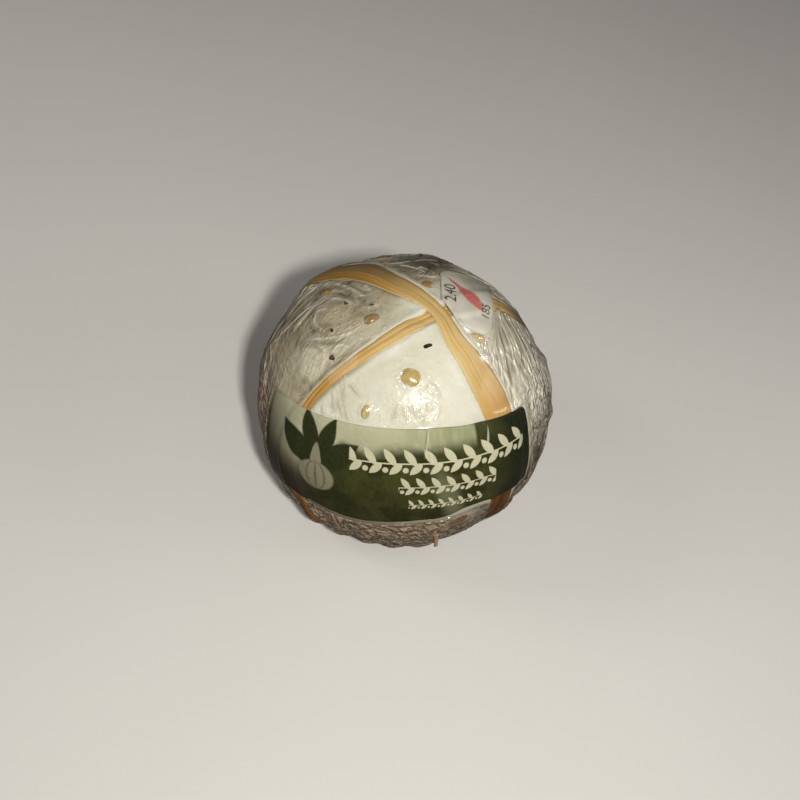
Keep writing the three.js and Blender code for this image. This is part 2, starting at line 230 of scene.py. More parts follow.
# %% Measure distances over the ball
LABEL_AXIS = direction(25.5, -138.9)
LABEL_FROM_AXIS = math.radians(86.3)
LABEL_TURN = math.radians(148.5)
LABEL_LENGTH = 97.0
LABEL_OUTLINE = np.array([[-48.5, 15.4, 14], [-30, 16.4, 16], [-12, 16.6, 18.4], [12, 16.6, 15.8],
                          [26, 15.8, 12.6], [48.5, 14.2, 12.8]])
LABEL_CORNER = 2.5
LABEL_EAST = unit(LABEL_AXIS * LABEL_AXIS[2] - np.array([0, 0, 1]))
LABEL_SOUTH = np.cross(LABEL_AXIS, LABEL_EAST)
LABEL_ARM = BALL_RADIUS * math.sin(LABEL_FROM_AXIS)

STICKER_MIDDLE = direction(16.6, 150)
STICKER_LENGTH = 27.0
STICKER_WIDTH = 17.5
STICKER_CORNER = 5.0
STICKER_FORWARD = direction(90, 191)
STICKER_FORWARD = unit(STICKER_FORWARD - (STICKER_FORWARD @ STICKER_MIDDLE) * STICKER_MIDDLE)
STICKER_RIGHT = np.cross(STICKER_FORWARD, STICKER_MIDDLE)


def distance_to_band(d, route, block=8000):
    nearest = []
    for start in range(0, len(d), block):
        apart = np.arccos(np.clip(d[start:start + block] @ route.at.T, -1, 1))
        nearest.append((apart * BALL_RADIUS - route.half).min(1))
    return np.concatenate(nearest)


def label_place(d):
    """Millimetres along the label and down it, from its middle."""
    down = (np.arccos(np.clip(d @ LABEL_AXIS, -1, 1)) - LABEL_FROM_AXIS) * BALL_RADIUS
    turn = np.arctan2(d @ LABEL_SOUTH, d @ LABEL_EAST) - LABEL_TURN
    return ((turn + 3 * math.pi) % (2 * math.pi) - math.pi) * LABEL_ARM, down


def label_height(along, column):
    """Half heights of the label's hand-cut outline, eased from row to row."""
    rows = LABEL_OUTLINE
    i = np.clip(np.searchsorted(rows[:, 0], along) - 1, 0, len(rows) - 2)
    share = smooth((along - rows[i, 0]) / (rows[i + 1, 0] - rows[i, 0]))
    return rows[i, column] + (rows[i + 1, column] - rows[i, column]) * share


def label_distance(d):
    along, down = label_place(d)
    ends = np.abs(along) - LABEL_LENGTH / 2
    return np.maximum.reduce([ends, -down - label_height(along, 1), down - label_height(along, 2)])


def sticker_distance(d):
    reach = np.arccos(np.clip(d @ STICKER_MIDDLE, -1, 1)) * BALL_RADIUS
    along, across = d @ STICKER_FORWARD, d @ STICKER_RIGHT
    scale = reach / np.maximum(np.hypot(along, across), 1e-6)
    past_end = np.abs(along * scale) - STICKER_LENGTH / 2
    past_side = np.abs(across * scale) - STICKER_WIDTH / 2
    return np.maximum(past_end, past_side)


# %% [markdown]
# ## The form of the wrapped cheese
# The dome is a ball with a few broad swells and dents, because the cheese is shaped by hand, cut
# flat below and rounded over at the foot. The film gathers lower down, and it is held up a little
# beside the raffia. This is the same formula as the solid's, so the finer pieces keep its form.

# %% The film's smooth surface
# Place, reach and height of each swell or dent.
SWELLS = [
    ((63.6, -114.6), 13, 2.6), ((80.6, -88.9), 16, 0.9), ((46.7, -165.9), 9, 1.0),
    ((55.8, 130.2), 14, -1.6), ((65.9, 110.6), 9, 0.7), ((106.9, 47.4), 15, -2.5),
    ((115.4, -21.6), 8, 0.6),
]
LUMP, SMALL_LUMP = 0.4, 0.2
GATHER, GATHER_COUNT, GATHER_DRIFT = 0.4, 26, 1.5
GATHER_START, GATHER_FULL = 70, 100
TENT_RISE, TENT_SLOPE = 0.5, 3.0
CROSSING_RISE, CROSSING_REACH = 0.3, 7.0


def survey(d):
    """What the form needs to know of each direction, measured once."""
    over, under = distance_to_band(d, over_route), distance_to_band(d, under_route)
    angle, turn = angles_of(d)
    return SimpleNamespace(d=d, over=over, under=under, band=np.minimum(over, under), angle=angle,
                           turn=turn, label=label_distance(d), sticker=sticker_distance(d))


def film_radius(s):
    """How far the film's smooth surface is from the ball's middle, in millimetres."""
    x, y, z = s.d.T
    dome = np.full(len(s.d), BALL_RADIUS)
    dome += spotted(s.d, SWELLS)
    dome += LUMP * np.sin(5 * x + 1) * np.sin(4 * y + 2)
    dome += SMALL_LUMP * np.sin(9 * y + 1) * np.sin(8 * z + 3)
    turn = np.radians(s.turn)
    wave = np.sin(GATHER_COUNT * turn + GATHER_DRIFT * np.sin(3 * turn) + 2 * z)
    off_label = rise(s.label, TENT_SLOPE, 2 * TENT_SLOPE)
    dome += GATHER * rise(s.angle, GATHER_START, GATHER_FULL) * off_label * wave
    dome += TENT_RISE * fall(s.band, 0, TENT_SLOPE)
    dome += CROSSING_RISE * bell(np.radians(s.angle) * BALL_RADIUS, CROSSING_REACH)
    foot = FOOT_DROP / np.maximum(-z, 0.01)
    near = np.maximum(ROUND_OVER - np.abs(dome - foot), 0) / ROUND_OVER
    return np.minimum(dome, foot) - near * near * ROUND_OVER / 4


# %% [markdown]
# ## Meshes to shape
# A ball made of latitude rings has poles, where faces bunch up just at the crossing that everybody
# looks at. A cube whose faces are cut into a fine grid and then blown up has no poles. The bands and
# papers start as flat grids. Both come from bmesh operators, and one helper moves their points out
# to a distance from the ball's middle. Strips and papers get their thickness from a Solidify
# modifier, which keeps both faces of a sheet the same distance apart.

# %% Helpers for blown-up cubes and bent grids
def put_points(mesh, points):
    """Moves a mesh's points to places in millimetres round the ball's middle, none below the foot."""
    placed = (points + np.array([0, 0, FOOT_DROP])) * MM
    placed[:, 2] = np.maximum(placed[:, 2], 0)
    mesh.vertices.foreach_set("co", placed.astype(np.float32).ravel())
    mesh.update()


def points_of(mesh):
    co = np.empty(len(mesh.vertices) * 3, np.float32)
    mesh.vertices.foreach_get("co", co)
    return co.reshape(-1, 3).astype(float)


def ball_mesh(name, cuts):
    """A blown-up cube, and the unit vector of each of its points."""
    bm = bmesh.new()
    bmesh.ops.create_cube(bm, size=2)
    bmesh.ops.subdivide_edges(bm, edges=bm.edges, cuts=cuts, use_grid_fill=True)
    mesh = bpy.data.meshes.new(name)
    bm.to_mesh(mesh)
    bm.free()
    d = unit(np.tan(points_of(mesh) * math.pi / 4))
    print(name, "has", len(mesh.polygons) * 2, "triangles")
    return mesh, d


def grid_mesh(name, columns, rows):
    """A flat grid, and how far each point is along and across it, from -1 to 1."""
    bm = bmesh.new()
    bmesh.ops.create_grid(bm, x_segments=columns, y_segments=rows, size=1)
    mesh = bpy.data.meshes.new(name)
    bm.to_mesh(mesh)
    bm.free()
    along, across, _ = points_of(mesh).T
    return mesh, along, across


def add_mask(mesh, name, values):
    """A value for each point that materials can read by name."""
    layer = mesh.attributes.new(name, "FLOAT", "POINT")
    layer.data.foreach_set("value", values.astype(np.float32))


def add_flow(mesh, name, vectors):
    """A vector for each point, which noise in a material can take as its place."""
    layer = mesh.attributes.new(name, "FLOAT_VECTOR", "POINT")
    layer.data.foreach_set("vector", vectors.astype(np.float32).ravel())


def add_uv(mesh, u, v, name="print"):
    """A UV map from two values for each point."""
    layer = mesh.uv_layers.new(name=name)
    index = np.empty(len(mesh.loops), np.int32)
    mesh.loops.foreach_get("vertex_index", index)
    layer.data.foreach_set("uv", np.stack([u[index], v[index]], -1).astype(np.float32).ravel())


def add_piece(name, mesh, material, slot, *nodes):
    """Links a finished mesh as a piece of the object, with its faces outward."""
    if sum(face.normal.dot(face.center - BALL_MIDDLE) for face in mesh.polygons) < 0:
        mesh.flip_normals()
    mesh.polygons.foreach_set("use_smooth", [True] * len(mesh.polygons))
    mesh.materials.append(material)
    piece = bpy.data.objects.new(name, mesh)
    scene.collection.objects.link(piece)
    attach(piece, "root")
    if nodes:
        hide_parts(*nodes)
    return piece


def thicken(piece, thick):
    """Gives a sheet its thickness, in millimetres, on its inner side."""
    solidify = piece.modifiers.new("thickness", "SOLIDIFY")
    solidify.thickness = thick * MM
    solidify.offset = -1


# %% [markdown]
# ## Node helpers
# Materials are networks of nodes. One small function makes a node, sets its values and plugs in
# what feeds it, so each material below reads from top to bottom like a recipe. Paint goes on in
# layers: `tinted` lays one more colour over what is there, where a mask is and as strongly as we say.

# %% Make nodes and groups
def node(tree, kind, feeds=None, **settings):
    made = tree.nodes.new(kind)
    for key, value in settings.items():
        setattr(made, key, value)
    for key, value in (feeds or {}).items():
        if isinstance(value, bpy.types.NodeSocket):
            tree.links.new(value, made.inputs[key])
        else:
            made.inputs[key].default_value = value
    return made


def math_node(tree, operation, first, second=0.5, clamp=False):
    feeds = {0: first, 1: second}
    return node(tree, "ShaderNodeMath", feeds, operation=operation, use_clamp=clamp).outputs[0]


def combine(tree, operation, *masks):
    """Several masks made one, by an operation such as MAXIMUM."""
    whole = masks[0]
    for mask in masks[1:]:
        whole = math_node(tree, operation, whole, mask)
    return whole


def ramp_between(tree, value, low, high, to_low=0.0, to_high=1.0):
    """Value eased from to_low at low up to to_high at high."""
    feeds = {"Value": value, "From Min": low, "From Max": high, "To Min": to_low, "To Max": to_high}
    return node(tree, "ShaderNodeMapRange", feeds, interpolation_type="SMOOTHSTEP").outputs["Result"]


def mix_colours(tree, factor, first, second, blend="MIX"):
    made = node(tree, "ShaderNodeMix", data_type="RGBA", blend_type=blend)
    for socket, value in zip((made.inputs[0], made.inputs[6], made.inputs[7]), (factor, first, second)):
        if isinstance(value, bpy.types.NodeSocket):
            tree.links.new(value, socket)
        elif socket.type == "RGBA":
            socket.default_value = (*value, 1)
        else:
            socket.default_value = value
    return made.outputs[2]


def tinted(tree, colour, mask, share, over, blend="MIX"):
    """The colour with another laid over it, by a mask times a share."""
    return mix_colours(tree, math_node(tree, "MULTIPLY", mask, share), colour, over, blend)


def attribute(tree, name):
    return node(tree, "ShaderNodeAttribute", attribute_name=name).outputs["Fac"]


def object_place(tree):
    return node(tree, "ShaderNodeTexCoord").outputs["Object"]


def surface(tree, feeds):
    """A Principled shader with these inputs, as the material's surface."""
    shader = node(tree, "ShaderNodeBsdfPrincipled", feeds)
    node(tree, "ShaderNodeOutputMaterial", {"Surface": shader.outputs[0]})


def new_material(name):
    material = bpy.data.materials.new(name)
    material.use_nodes = True
    material.node_tree.nodes.clear()
    return material, material.node_tree


def new_group(name, inputs, outputs):
    """A node group with float inputs of given defaults, vector inputs where the default is None."""
    tree = bpy.data.node_groups.new(name, "ShaderNodeTree")
    for label, value in inputs.items():
        kind = "NodeSocketVector" if value is None else "NodeSocketFloat"
        socket = tree.interface.new_socket(label, in_out="INPUT", socket_type=kind)
        if value is not None:
            socket.default_value = value
    for label, kind in outputs.items():
        tree.interface.new_socket(label, in_out="OUTPUT", socket_type=kind)
    return tree, tree.nodes.new("NodeGroupInput").outputs, tree.nodes.new("NodeGroupOutput").inputs


def use_group(tree, group, **feeds):
    made = node(tree, "ShaderNodeGroup", node_tree=group)
    for label, value in feeds.items():
        socket = made.inputs[label.replace("_", " ")]
        if isinstance(value, bpy.types.NodeSocket):
            tree.links.new(value, socket)
        else:
            socket.default_value = value
    return made.outputs


# %% [markdown]
# ## Shared effects
# Three effects are used by more than one finish, so each is a node group. *Mottle* is a soft uneven
# mask, for rind, garlic, raffia, paper and film. *Fibres* is a mask of fine lines along one
# direction, for raffia and for paper. *Creases* finds the lines where noise crosses its middle value.
# Stretched by the place that we feed it, it draws folds in the film, and faint marks on the label
# that the film is drawn over.

# %% Mottle
mottle, given, result = new_group(
    "mottle", {"Place": None, "Scale": 60.0, "Detail": 4.0, "Low": 0.4, "High": 0.6},
    {"Mask": "NodeSocketFloat"}
)
cloudy = node(mottle, "ShaderNodeTexNoise", {"Vector": given["Place"], "Scale": given["Scale"],
                                             "Detail": given["Detail"], "Roughness": 0.6})
mottle.links.new(ramp_between(mottle, cloudy.outputs["Fac"], given["Low"], given["High"]), result["Mask"])

# %% Fibres
fibres, given, result = new_group(
    "fibres", {"Along": 0.0, "Across": 0.0, "Count": 40.0, "Stretch": 0.04, "Low": 0.4, "High": 0.6},
    {"Mask": "NodeSocketFloat"}
)
long_way = math_node(fibres, "MULTIPLY", given["Along"], given["Stretch"])
spot = node(fibres, "ShaderNodeCombineXYZ", {"X": long_way, "Y": given["Across"]})
strands = node(fibres, "ShaderNodeTexNoise", {"Vector": spot.outputs[0], "Scale": given["Count"],
                                              "Detail": 3.0, "Roughness": 0.65})
fibres.links.new(ramp_between(fibres, strands.outputs["Fac"], given["Low"], given["High"]), result["Mask"])

# %% Creases in noise
creases, given, result = new_group(
    "creases", {"Flow": None, "Scale": 1.0, "Detail": 2.0, "Width": 0.06},
    {"Crest": "NodeSocketFloat", "Trough": "NodeSocketFloat", "Height": "NodeSocketFloat"}
)
wave = node(creases, "ShaderNodeTexNoise", {"Vector": given["Flow"], "Scale": given["Scale"],
                                            "Detail": given["Detail"], "Roughness": 0.5})
off = math_node(creases, "ABSOLUTE", math_node(creases, "SUBTRACT", wave.outputs["Fac"], 0.5))
crest = ramp_between(creases, off, 0.0, given["Width"], 1.0, 0.0)
creases.links.new(crest, result["Crest"])
creases.links.new(ramp_between(creases, wave.outputs["Fac"], 0.34, 0.46, 1.0, 0.0), result["Trough"])
creases.links.new(math_node(creases, "ADD", crest, wave.outputs["Fac"]), result["Height"])
print("node groups:", len(bpy.data.node_groups))

# %% [markdown]
# ## Garlic and pepper
# Pieces of garlic and grains of pepper stand a little proud under the film. Each is written as its
# angle, its turn, its length, its width and its lie, which is the angle from the parallel to its long
# side. Their places at the front are read from the real cheese. Those behind are spread by even
# strides that never line up, and one that would touch a band or a paper is passed over.

# %% Where the pieces lie
BIT_SUNK = 0.55
GARLIC = [
    (27.2, -2, 6.2, 5.4, -10), (17, 82, 5.4, 3.4, -65), (45.2, -16.5, 4.4, 2.6, -72),
    (23.8, -68, 5.3, 3.6, 108), (46.7, -98, 4.6, 2.8, 100), (69.7, -77.8, 3.5, 2.4, 120),
    (14.6, -150, 4.4, 3.4, 150), (83.5, 35.8, 7, 4.2, 18),
]
PEPPER = [
    (14.4, 4, 3.4, 1.4, 32), (24.2, -84, 2.2, 1.2, 106), (34.7, -88, 2.6, 1.6, 50),
    (41.5, -51, 2.4, 1.8, 36), (39.2, -68, 1.6, 1.4, 0),
]
BACK_COUNT, BACK_TRIES = 9, 60
BACK_TURNS, BACK_ANGLES = (95, 260), (32, 108)
BACK_STRIDE, BACK_LEVEL_STRIDE, BACK_LIE_STEP = 0.618034, 0.754878, 137.5
BIT_CLEARANCE, SIZE_SPREAD = 3.4, 0.25


def back_bits(length, width, phase):
    """Bits spread over the back, each as its angle, turn, length, width and lie."""
    bits = []
    for i in range(BACK_TRIES):
        angle = BACK_ANGLES[0] + (BACK_ANGLES[1] - BACK_ANGLES[0]) * (((i + 0.5) * BACK_LEVEL_STRIDE) % 1)
        turn = BACK_TURNS[0] + (BACK_TURNS[1] - BACK_TURNS[0]) * ((i * BACK_STRIDE + phase) % 1)
        size = 1 + SIZE_SPREAD * math.sin(7 * i + phase)
        s = survey(direction(np.array([angle]), np.array([turn])))
        free = min(s.band[0], s.label[0], s.sticker[0])
        if free > BIT_CLEARANCE and len(bits) < BACK_COUNT:
            bits.append((angle, turn, length * size, width * size, BACK_LIE_STEP * i))
    return bits


GARLIC += back_bits(length=4.4, width=3.2, phase=0.2)
PEPPER += back_bits(length=2.2, width=1.6, phase=0.55)


def bit_axes(bit):
    """Unit vectors out of the ball at a bit, along it and across it."""
    angle, turn, _, _, lie = bit
    out = direction(angle, turn)
    east = unit(np.cross([0, 0, 1], out))
    north = np.cross(out, east)
    lie = math.radians(lie)
    return out, east * math.cos(lie) + north * math.sin(lie), north * math.cos(lie) - east * math.sin(lie)


def bit_reach(d, bit):
    """How far out each direction is from the middle of a bit: 1 at its edge."""
    out, along, across = bit_axes(bit)
    reach = np.hypot(d @ along * BALL_RADIUS / (bit[2] / 2), d @ across * BALL_RADIUS / (bit[3] / 2))
    return np.where(d @ out > 0, reach, 99)


print(len(GARLIC), "pieces of garlic and", len(PEPPER), "grains of pepper")

# %% [markdown]
# A piece of garlic is cut by hand, so each is a different lump. We start from an icosphere, push its points
# with noise, and stretch it to the length and width of its place. All pieces share one mesh, because they
# share one finish. Two masks tell the material which pieces are browner, on the left and low down, where low
# down the brown is painted shade, and which are painted dark amber, as shade, below the label.

# %% Shape the bits
def bits_mesh(name, bits, rounds, roughness, proud):
    """One mesh of all the bits, which stand proud of the film's surface by that much."""
    whole = bmesh.new()
    for number, bit in enumerate(bits):
        out, along, across = bit_axes(bit)
        middle = out * (film_radius(survey(out[None]))[0] - BIT_SUNK)
        made = bmesh.ops.create_icosphere(whole, subdivisions=rounds, radius=1)
        turned = np.stack([along * bit[2] / 2, across * bit[3] / 2, out * (proud + BIT_SUNK)])
        for vert in made["verts"]:
            push = 1 + roughness * noise.noise(vert.co * 1.1 + Vector((number * 3.1, 0, 0)))
            place = np.array(vert.co * push) @ turned + middle
            vert.co = Vector((place + [0, 0, FOOT_DROP]) * MM)
    mesh = bpy.data.meshes.new(name)
    whole.to_mesh(mesh)
    whole.free()
    angle, turn = angles_of(unit(points_of(mesh) / MM - [0, 0, FOOT_DROP]))
    left = fall(turn, -65, -50) * rise(turn, -165, -155)
    # Browner pieces on the left; low down this brown is painted shade, and so is the amber below the label.
    add_mask(mesh, "brown_and_shade", np.maximum(left, rise(angle, 60, 70)))
    add_mask(mesh, "amber_shade", rise(angle, 74, 79) * fall(np.abs(turn), 80, 90))
    print(name, "has", len(mesh.polygons), "triangles")
    return mesh


# %% Garlic finish
GARLIC_FLESH, GARLIC_PALE = (0.58, 0.43, 0.17), (0.76, 0.64, 0.34)
GARLIC_BROWN_AND_SHADE, GARLIC_AMBER_SHADE = (0.32, 0.17, 0.04), (0.14, 0.05, 0.006)

garlic_finish, tree = new_material("garlic")
cloud = use_group(tree, mottle, Place=object_place(tree), Scale=420.0, Low=0.35, High=0.65)["Mask"]
colour = mix_colours(tree, cloud, GARLIC_FLESH, GARLIC_PALE)
# Brown on the left; low down the brown and the dark amber are painted shade.
colour = tinted(tree, colour, attribute(tree, "brown_and_shade"), 0.85, GARLIC_BROWN_AND_SHADE)
colour = tinted(tree, colour, attribute(tree, "amber_shade"), 0.75, GARLIC_AMBER_SHADE)
surface(tree, {
    "Base Color": colour, "Roughness": ramp_between(tree, cloud, 0.0, 1.0, 0.16, 0.3),
    "Subsurface Weight": 0.35, "Subsurface Radius": (1.0, 0.6, 0.3), "Subsurface Scale": 0.0015,
})
garlic_mesh = bits_mesh("garlic_pieces", GARLIC, rounds=4, roughness=0.18, proud=0.8)
add_piece("garlic_pieces", garlic_mesh, garlic_finish, "garlic", "wrapped_cheese")

# %% Pepper finish
PEPPER_BLACK, PEPPER_BROWN = (0.014, 0.008, 0.004), (0.12, 0.045, 0.02)

pepper_finish, tree = new_material("pepper")
cloud = use_group(tree, mottle, Place=object_place(tree), Scale=1500.0, Low=0.4, High=0.7)["Mask"]
colour = mix_colours(tree, cloud, PEPPER_BLACK, PEPPER_BROWN)
surface(tree, {"Base Color": colour, "Roughness": 0.7, "Specular IOR Level": 0.2})
pepper_mesh = bits_mesh("pepper_grains", PEPPER, rounds=3, roughness=0.4, proud=0.35)
add_piece("pepper_grains", pepper_mesh, pepper_finish, "pepper", "wrapped_cheese")

# %% [markdown]
# ## The cheese
# Under the film is a moist rind. At the front it is pressed flat against the film and looks smooth and ivory.
# On the left and behind it is greyer and mottled, with one pale patch on the left; part of that grey, most of
# all low down, is painted shade. Painted shade also goes on some spots and on all that is low down. Each of
# these is a mask, stored on the points for the material, and the grey parts are also rougher in shape.

# %% Where the rind is grey or pale, and where shade is painted
CHEESE_CUTS = 91
PALE_PATCH_AT = (48.6, -55.4)
# Spots that make the rind greyer, which is partly painted shade, and spots that make it paler; then spots of
# painted shade. Each is a place, a reach and a strength.
GREY_SPOTS = [((38, -95), 12, 0.5), ((64, -96), 8, 0.3), ((15, -70), 9, -0.25), ((30, -50), 7, -0.3)]
SHADED_SPOTS = [((48, -100), 9, 0.5), ((33, -90), 6, 0.22), ((36, -160), 13, 0.75), ((79, -67), 7, 0.4)]

cheese_mesh, d = ball_mesh("cheese", CHEESE_CUTS)
s = survey(d)
near_top = fall(s.angle, 30, 39)
left_start = 1.2 * near_top - 0.9
left_part = rise(s.under, left_start, left_start + 0.5 + 3 * near_top)
left_part *= fall(s.turn, -40, -36) * rise(s.turn, -126, -118) * rise(s.angle, 6, 22)
left_low = left_part * rise(s.angle, 52, 66)
back_part = fall(np.abs(s.turn % 360 - 190), 80, 110) * rise(s.angle, 8, 24)
ragged = 3 * noise_at(d * 14, 5)
pale_patch = fall(degrees_from(d, PALE_PATCH_AT) - ragged, 5.5, 7.5)
# Grey rind on the left and behind; part of this grey, most of all low down, is painted shade.
grey_and_shade = 0.52 * left_part + 0.5 * back_part + 0.5 * rise(s.angle, 78, 96)
grey_and_shade += spotted(d, GREY_SPOTS) - 0.95 * pale_patch
grey_and_shade = np.clip(grey_and_shade + 0.3 * noise_at(d * 7, 3) * (grey_and_shade > 0.1), 0, 1)
# Painted shade: all that is low down, and a few spots on the left and behind.
painted_shade = 0.5 * rise(s.angle + 4 * noise_at(d * 5, 6), 66, 92) + spotted(d, SHADED_SPOTS) + 0.1 * left_low
buff = 0.5 * pale_patch + (1 - pale_patch) * (0.55 * left_part + 0.45 * left_low)
add_mask(cheese_mesh, "grey_and_shade", grey_and_shade)
add_mask(cheese_mesh, "painted_shade", np.clip(painted_shade, 0, 1))
add_mask(cheese_mesh, "pale patch", pale_patch)
add_mask(cheese_mesh, "buff", buff)
print("grey share of the rind:", round(float(grey_and_shade.mean()), 2))

# %% [markdown]
# The raffia was tied on before wrapping, so it lies in grooves. We sink the ball's surface a little
# under the film's, and deeper under the bands, most of all where the lower band dips under the other.
# Under each bit of garlic and pepper the rind swells up a little.

# %% Shape the cheese
CHEESE_DEPTH = 0.3
GROOVE_DEPTH = 0.95
GROOVE_FLOOR, GROOVE_RIM = -0.7, 0.1
UNDER_DIP = 1.15
DIP_REACH = 8.0
SWELL_AT_BIT = 0.25

from_crossing = np.radians(np.minimum(s.angle, 180 - s.angle)) * BALL_RADIUS
radius = film_radius(s) - CHEESE_DEPTH
radius -= GROOVE_DEPTH * fall(s.band, GROOVE_FLOOR, GROOVE_RIM)
radius -= UNDER_DIP * bell(from_crossing, DIP_REACH, 4) * fall(s.under, GROOVE_FLOOR, GROOVE_RIM)
for bit in GARLIC + PEPPER:
    radius += SWELL_AT_BIT * fall(bit_reach(d, bit), 0.6, 1.6)
relief = 0.1 * noise_at(d * 20, 1) + 0.04 * noise_at(d * 55, 2)
radius += relief * (0.3 + grey_and_shade)
put_points(cheese_mesh, d * radius[:, None])

# %% [markdown]
# The colour of the rind comes from three layers of mottle at different scales: broad clouds, small fuzzy
# patches, and a few fine dark flecks. The masks then choose between ivory and grey, the grey being partly
# painted shade, and lay the buff tone, the pale patch and the painted shade over them. Cheese lets a little
# light in, so it gets some subsurface scattering, which softens the shading.

# %% Cheese finish
IVORY, CREAM = (0.83, 0.81, 0.68), (0.9, 0.89, 0.785)
GREY, BROWN = (0.64, 0.55, 0.36), (0.31, 0.245, 0.135)
RIND_SHADE, BUFF = (0.12, 0.07, 0.035), (1.0, 0.95, 0.78)
FLECK, PATCH = (0.09, 0.06, 0.04), (0.98, 0.93, 0.75)

cheese_finish, tree = new_material("cheese rind")
place = object_place(tree)
# The grey mask is grey rind and partly painted shade.
grey_and_shade_mask = attribute(tree, "grey_and_shade")
broad = use_group(tree, mottle, Place=place, Scale=70.0, Low=0.38, High=0.62)["Mask"]
small = use_group(tree, mottle, Place=place, Scale=330.0, Detail=6.0, Low=0.42, High=0.68)["Mask"]
fleck = use_group(tree, mottle, Place=place, Scale=620.0, Low=0.66, High=0.72)["Mask"]
uneven = math_node(tree, "ADD", math_node(tree, "MULTIPLY", small, 0.5), 0.55)
amount = math_node(tree, "MULTIPLY", grey_and_shade_mask, uneven, clamp=True)
pale = mix_colours(tree, broad, IVORY, CREAM)
dull = mix_colours(tree, broad, BROWN, GREY)
colour = mix_colours(tree, amount, pale, dull)
colour = tinted(tree, colour, math_node(tree, "MULTIPLY", fleck, grey_and_shade_mask), 0.5, FLECK)
colour = tinted(tree, colour, attribute(tree, "buff"), 0.8, BUFF, "MULTIPLY")
colour = tinted(tree, colour, attribute(tree, "pale patch"), 0.85, PATCH)
# Painted shade laid over the rind.
colour = mix_colours(tree, attribute(tree, "painted_shade"), colour, RIND_SHADE)
bump = node(tree, "ShaderNodeBump", {"Strength": 0.35, "Distance": 0.0004, "Height": small})
surface(tree, {
    "Base Color": colour, "Roughness": ramp_between(tree, small, 0.0, 1.0, 0.38, 0.55),
    "Normal": bump.outputs[0], "Subsurface Weight": 0.25, "Subsurface Radius": (1.0, 0.7, 0.45),
    "Subsurface Scale": 0.002,
})
add_piece("cheese", cheese_mesh, cheese_finish, "cheese_rind", "wrapped_cheese")

# %% [markdown]
# ## Raffia
# Raffia is a strip peeled from a palm leaf: thin, folded lengthwise, with long fibres that split. A
# band here is a bundle of such strips lying side by side and over each other. Each strip is a grid
# bent along the route, pleated across its width, and it wanders from side to side on its way. A
# Solidify modifier gives it its thickness.

# %% Strips along a route
STRIP_THICK = 0.16
RAFFIA_THICK = 0.8
FOOT_INSET, FOOT_START, FOOT_FULL = 0.3, 110, 125
DIP_FLAT, DIP_END = 4.5, 11
PLEAT_DEPTH = 0.09
WANDER_WAVES, BREATHE_WAVES, PLEAT_WAVES = 2.2, 4, 3
BREATHE = 0.25
UV_PER_MM = 0.1


def band_inset(route):
    """How far a band lies below the film: the lower band dips where the two cross."""
    foot = FOOT_INSET * rise(route.away, FOOT_START, FOOT_FULL)
    if route is over_route:
        return foot
    from_crossing = np.radians(np.minimum(route.away, 180 - route.away)) * BALL_RADIUS
    return foot + UNDER_DIP * fall(from_crossing, DIP_FLAT, DIP_END)


def strip_mesh(name, route, middle, width, level, pleats, seed, rows):
    """A pleated strip: middle and width are shares of the band's half width, level is 0 to 1."""
    mesh, along, across = grid_mesh(name, ROUTE_STEPS, rows)
    i = np.rint((along + 1) / 2 * ROUTE_STEPS).astype(int) % ROUTE_STEPS
    run = i / ROUTE_STEPS * 2 * math.pi
    loop = np.stack([np.cos(run), np.sin(run), 0 * run + seed], -1)
    wander = noise_at(loop * WANDER_WAVES, seed) * (1 - width)
    breathe = 1 + BREATHE * noise_at(loop * BREATHE_WAVES, seed + 5)
    share = np.clip(middle + wander + across * width * breathe, -1, 1)
    d = unit(route.at[i] + route.side[i] * (share * route.half[i] / BALL_RADIUS)[:, None])
    drift = 3 * noise_at(loop * PLEAT_WAVES, seed + 9)
    wave = np.sin((pleats * across + drift) * math.pi)
    fold = 0.5 + 0.5 * wave * (1 - across ** 6)
    room = RAFFIA_THICK - STRIP_THICK
    depth = band_inset(route)[i] + 0.2 * STRIP_THICK + 0.8 * room * (1 - level)
    depth += PLEAT_DEPTH * room * (1 - fold)
    crown = (0.12 + 0.2 * level) * across ** 2
    put_points(mesh, d * (film_radius(survey(d)) - depth - crown)[:, None])
    add_uv(mesh, along * math.pi * BALL_RADIUS * UV_PER_MM, share * 0.5 + seed * 0.37, "strip")
    add_mask(mesh, "edge", share)
    angle, turn = angles_of(d)
    # The far legs get painted shade in the material, and the right end is painted darker.
    far_left = fall(turn, -95, -70) * rise(angle, 5, 33)
    far_right = rise(turn, 100, 120) * rise(angle, 28, 42)
    add_mask(mesh, "far_shade", np.maximum(far_left, far_right))
    add_mask(mesh, "right end", rise(turn, 0, 20))
    return mesh


def join_meshes(name, meshes):
    """Several meshes as one, with the seam of each loop welded."""
    bm = bmesh.new()
    for mesh in meshes:
        bm.from_mesh(mesh)
    bmesh.ops.remove_doubles(bm, verts=bm.verts, dist=2e-6)
    whole = bpy.data.meshes.new(name)
    bm.to_mesh(whole)
    bm.free()
    print(name, "has", len(whole.polygons) * 2, "triangles on each side")
    return whole


# %% [markdown]
# Raffia is straw coloured, with coarse and fine fibres that run along the strip. So its noise reads the
# strip's own UV map, which follows the route. The far legs are painted darker and browner, as shade, dark
# along one edge and golden along the other, with dark stripes, which a sine across the strip draws. On every
# band one edge gets a painted highlight and the other painted shade. Low down, near the foot, the raffia
# turns amber, and at its ends brown, and the right end is painted almost black, as shade. The loose end alone
# has the mask *bleached*, which makes it pale.

# %% Raffia finish
STRAW, PALE_STRAW = (0.74, 0.47, 0.16), (0.88, 0.64, 0.26)
FINE_FIBRE, TAN_PATCH = (0.94, 0.76, 0.42), (0.62, 0.36, 0.1)

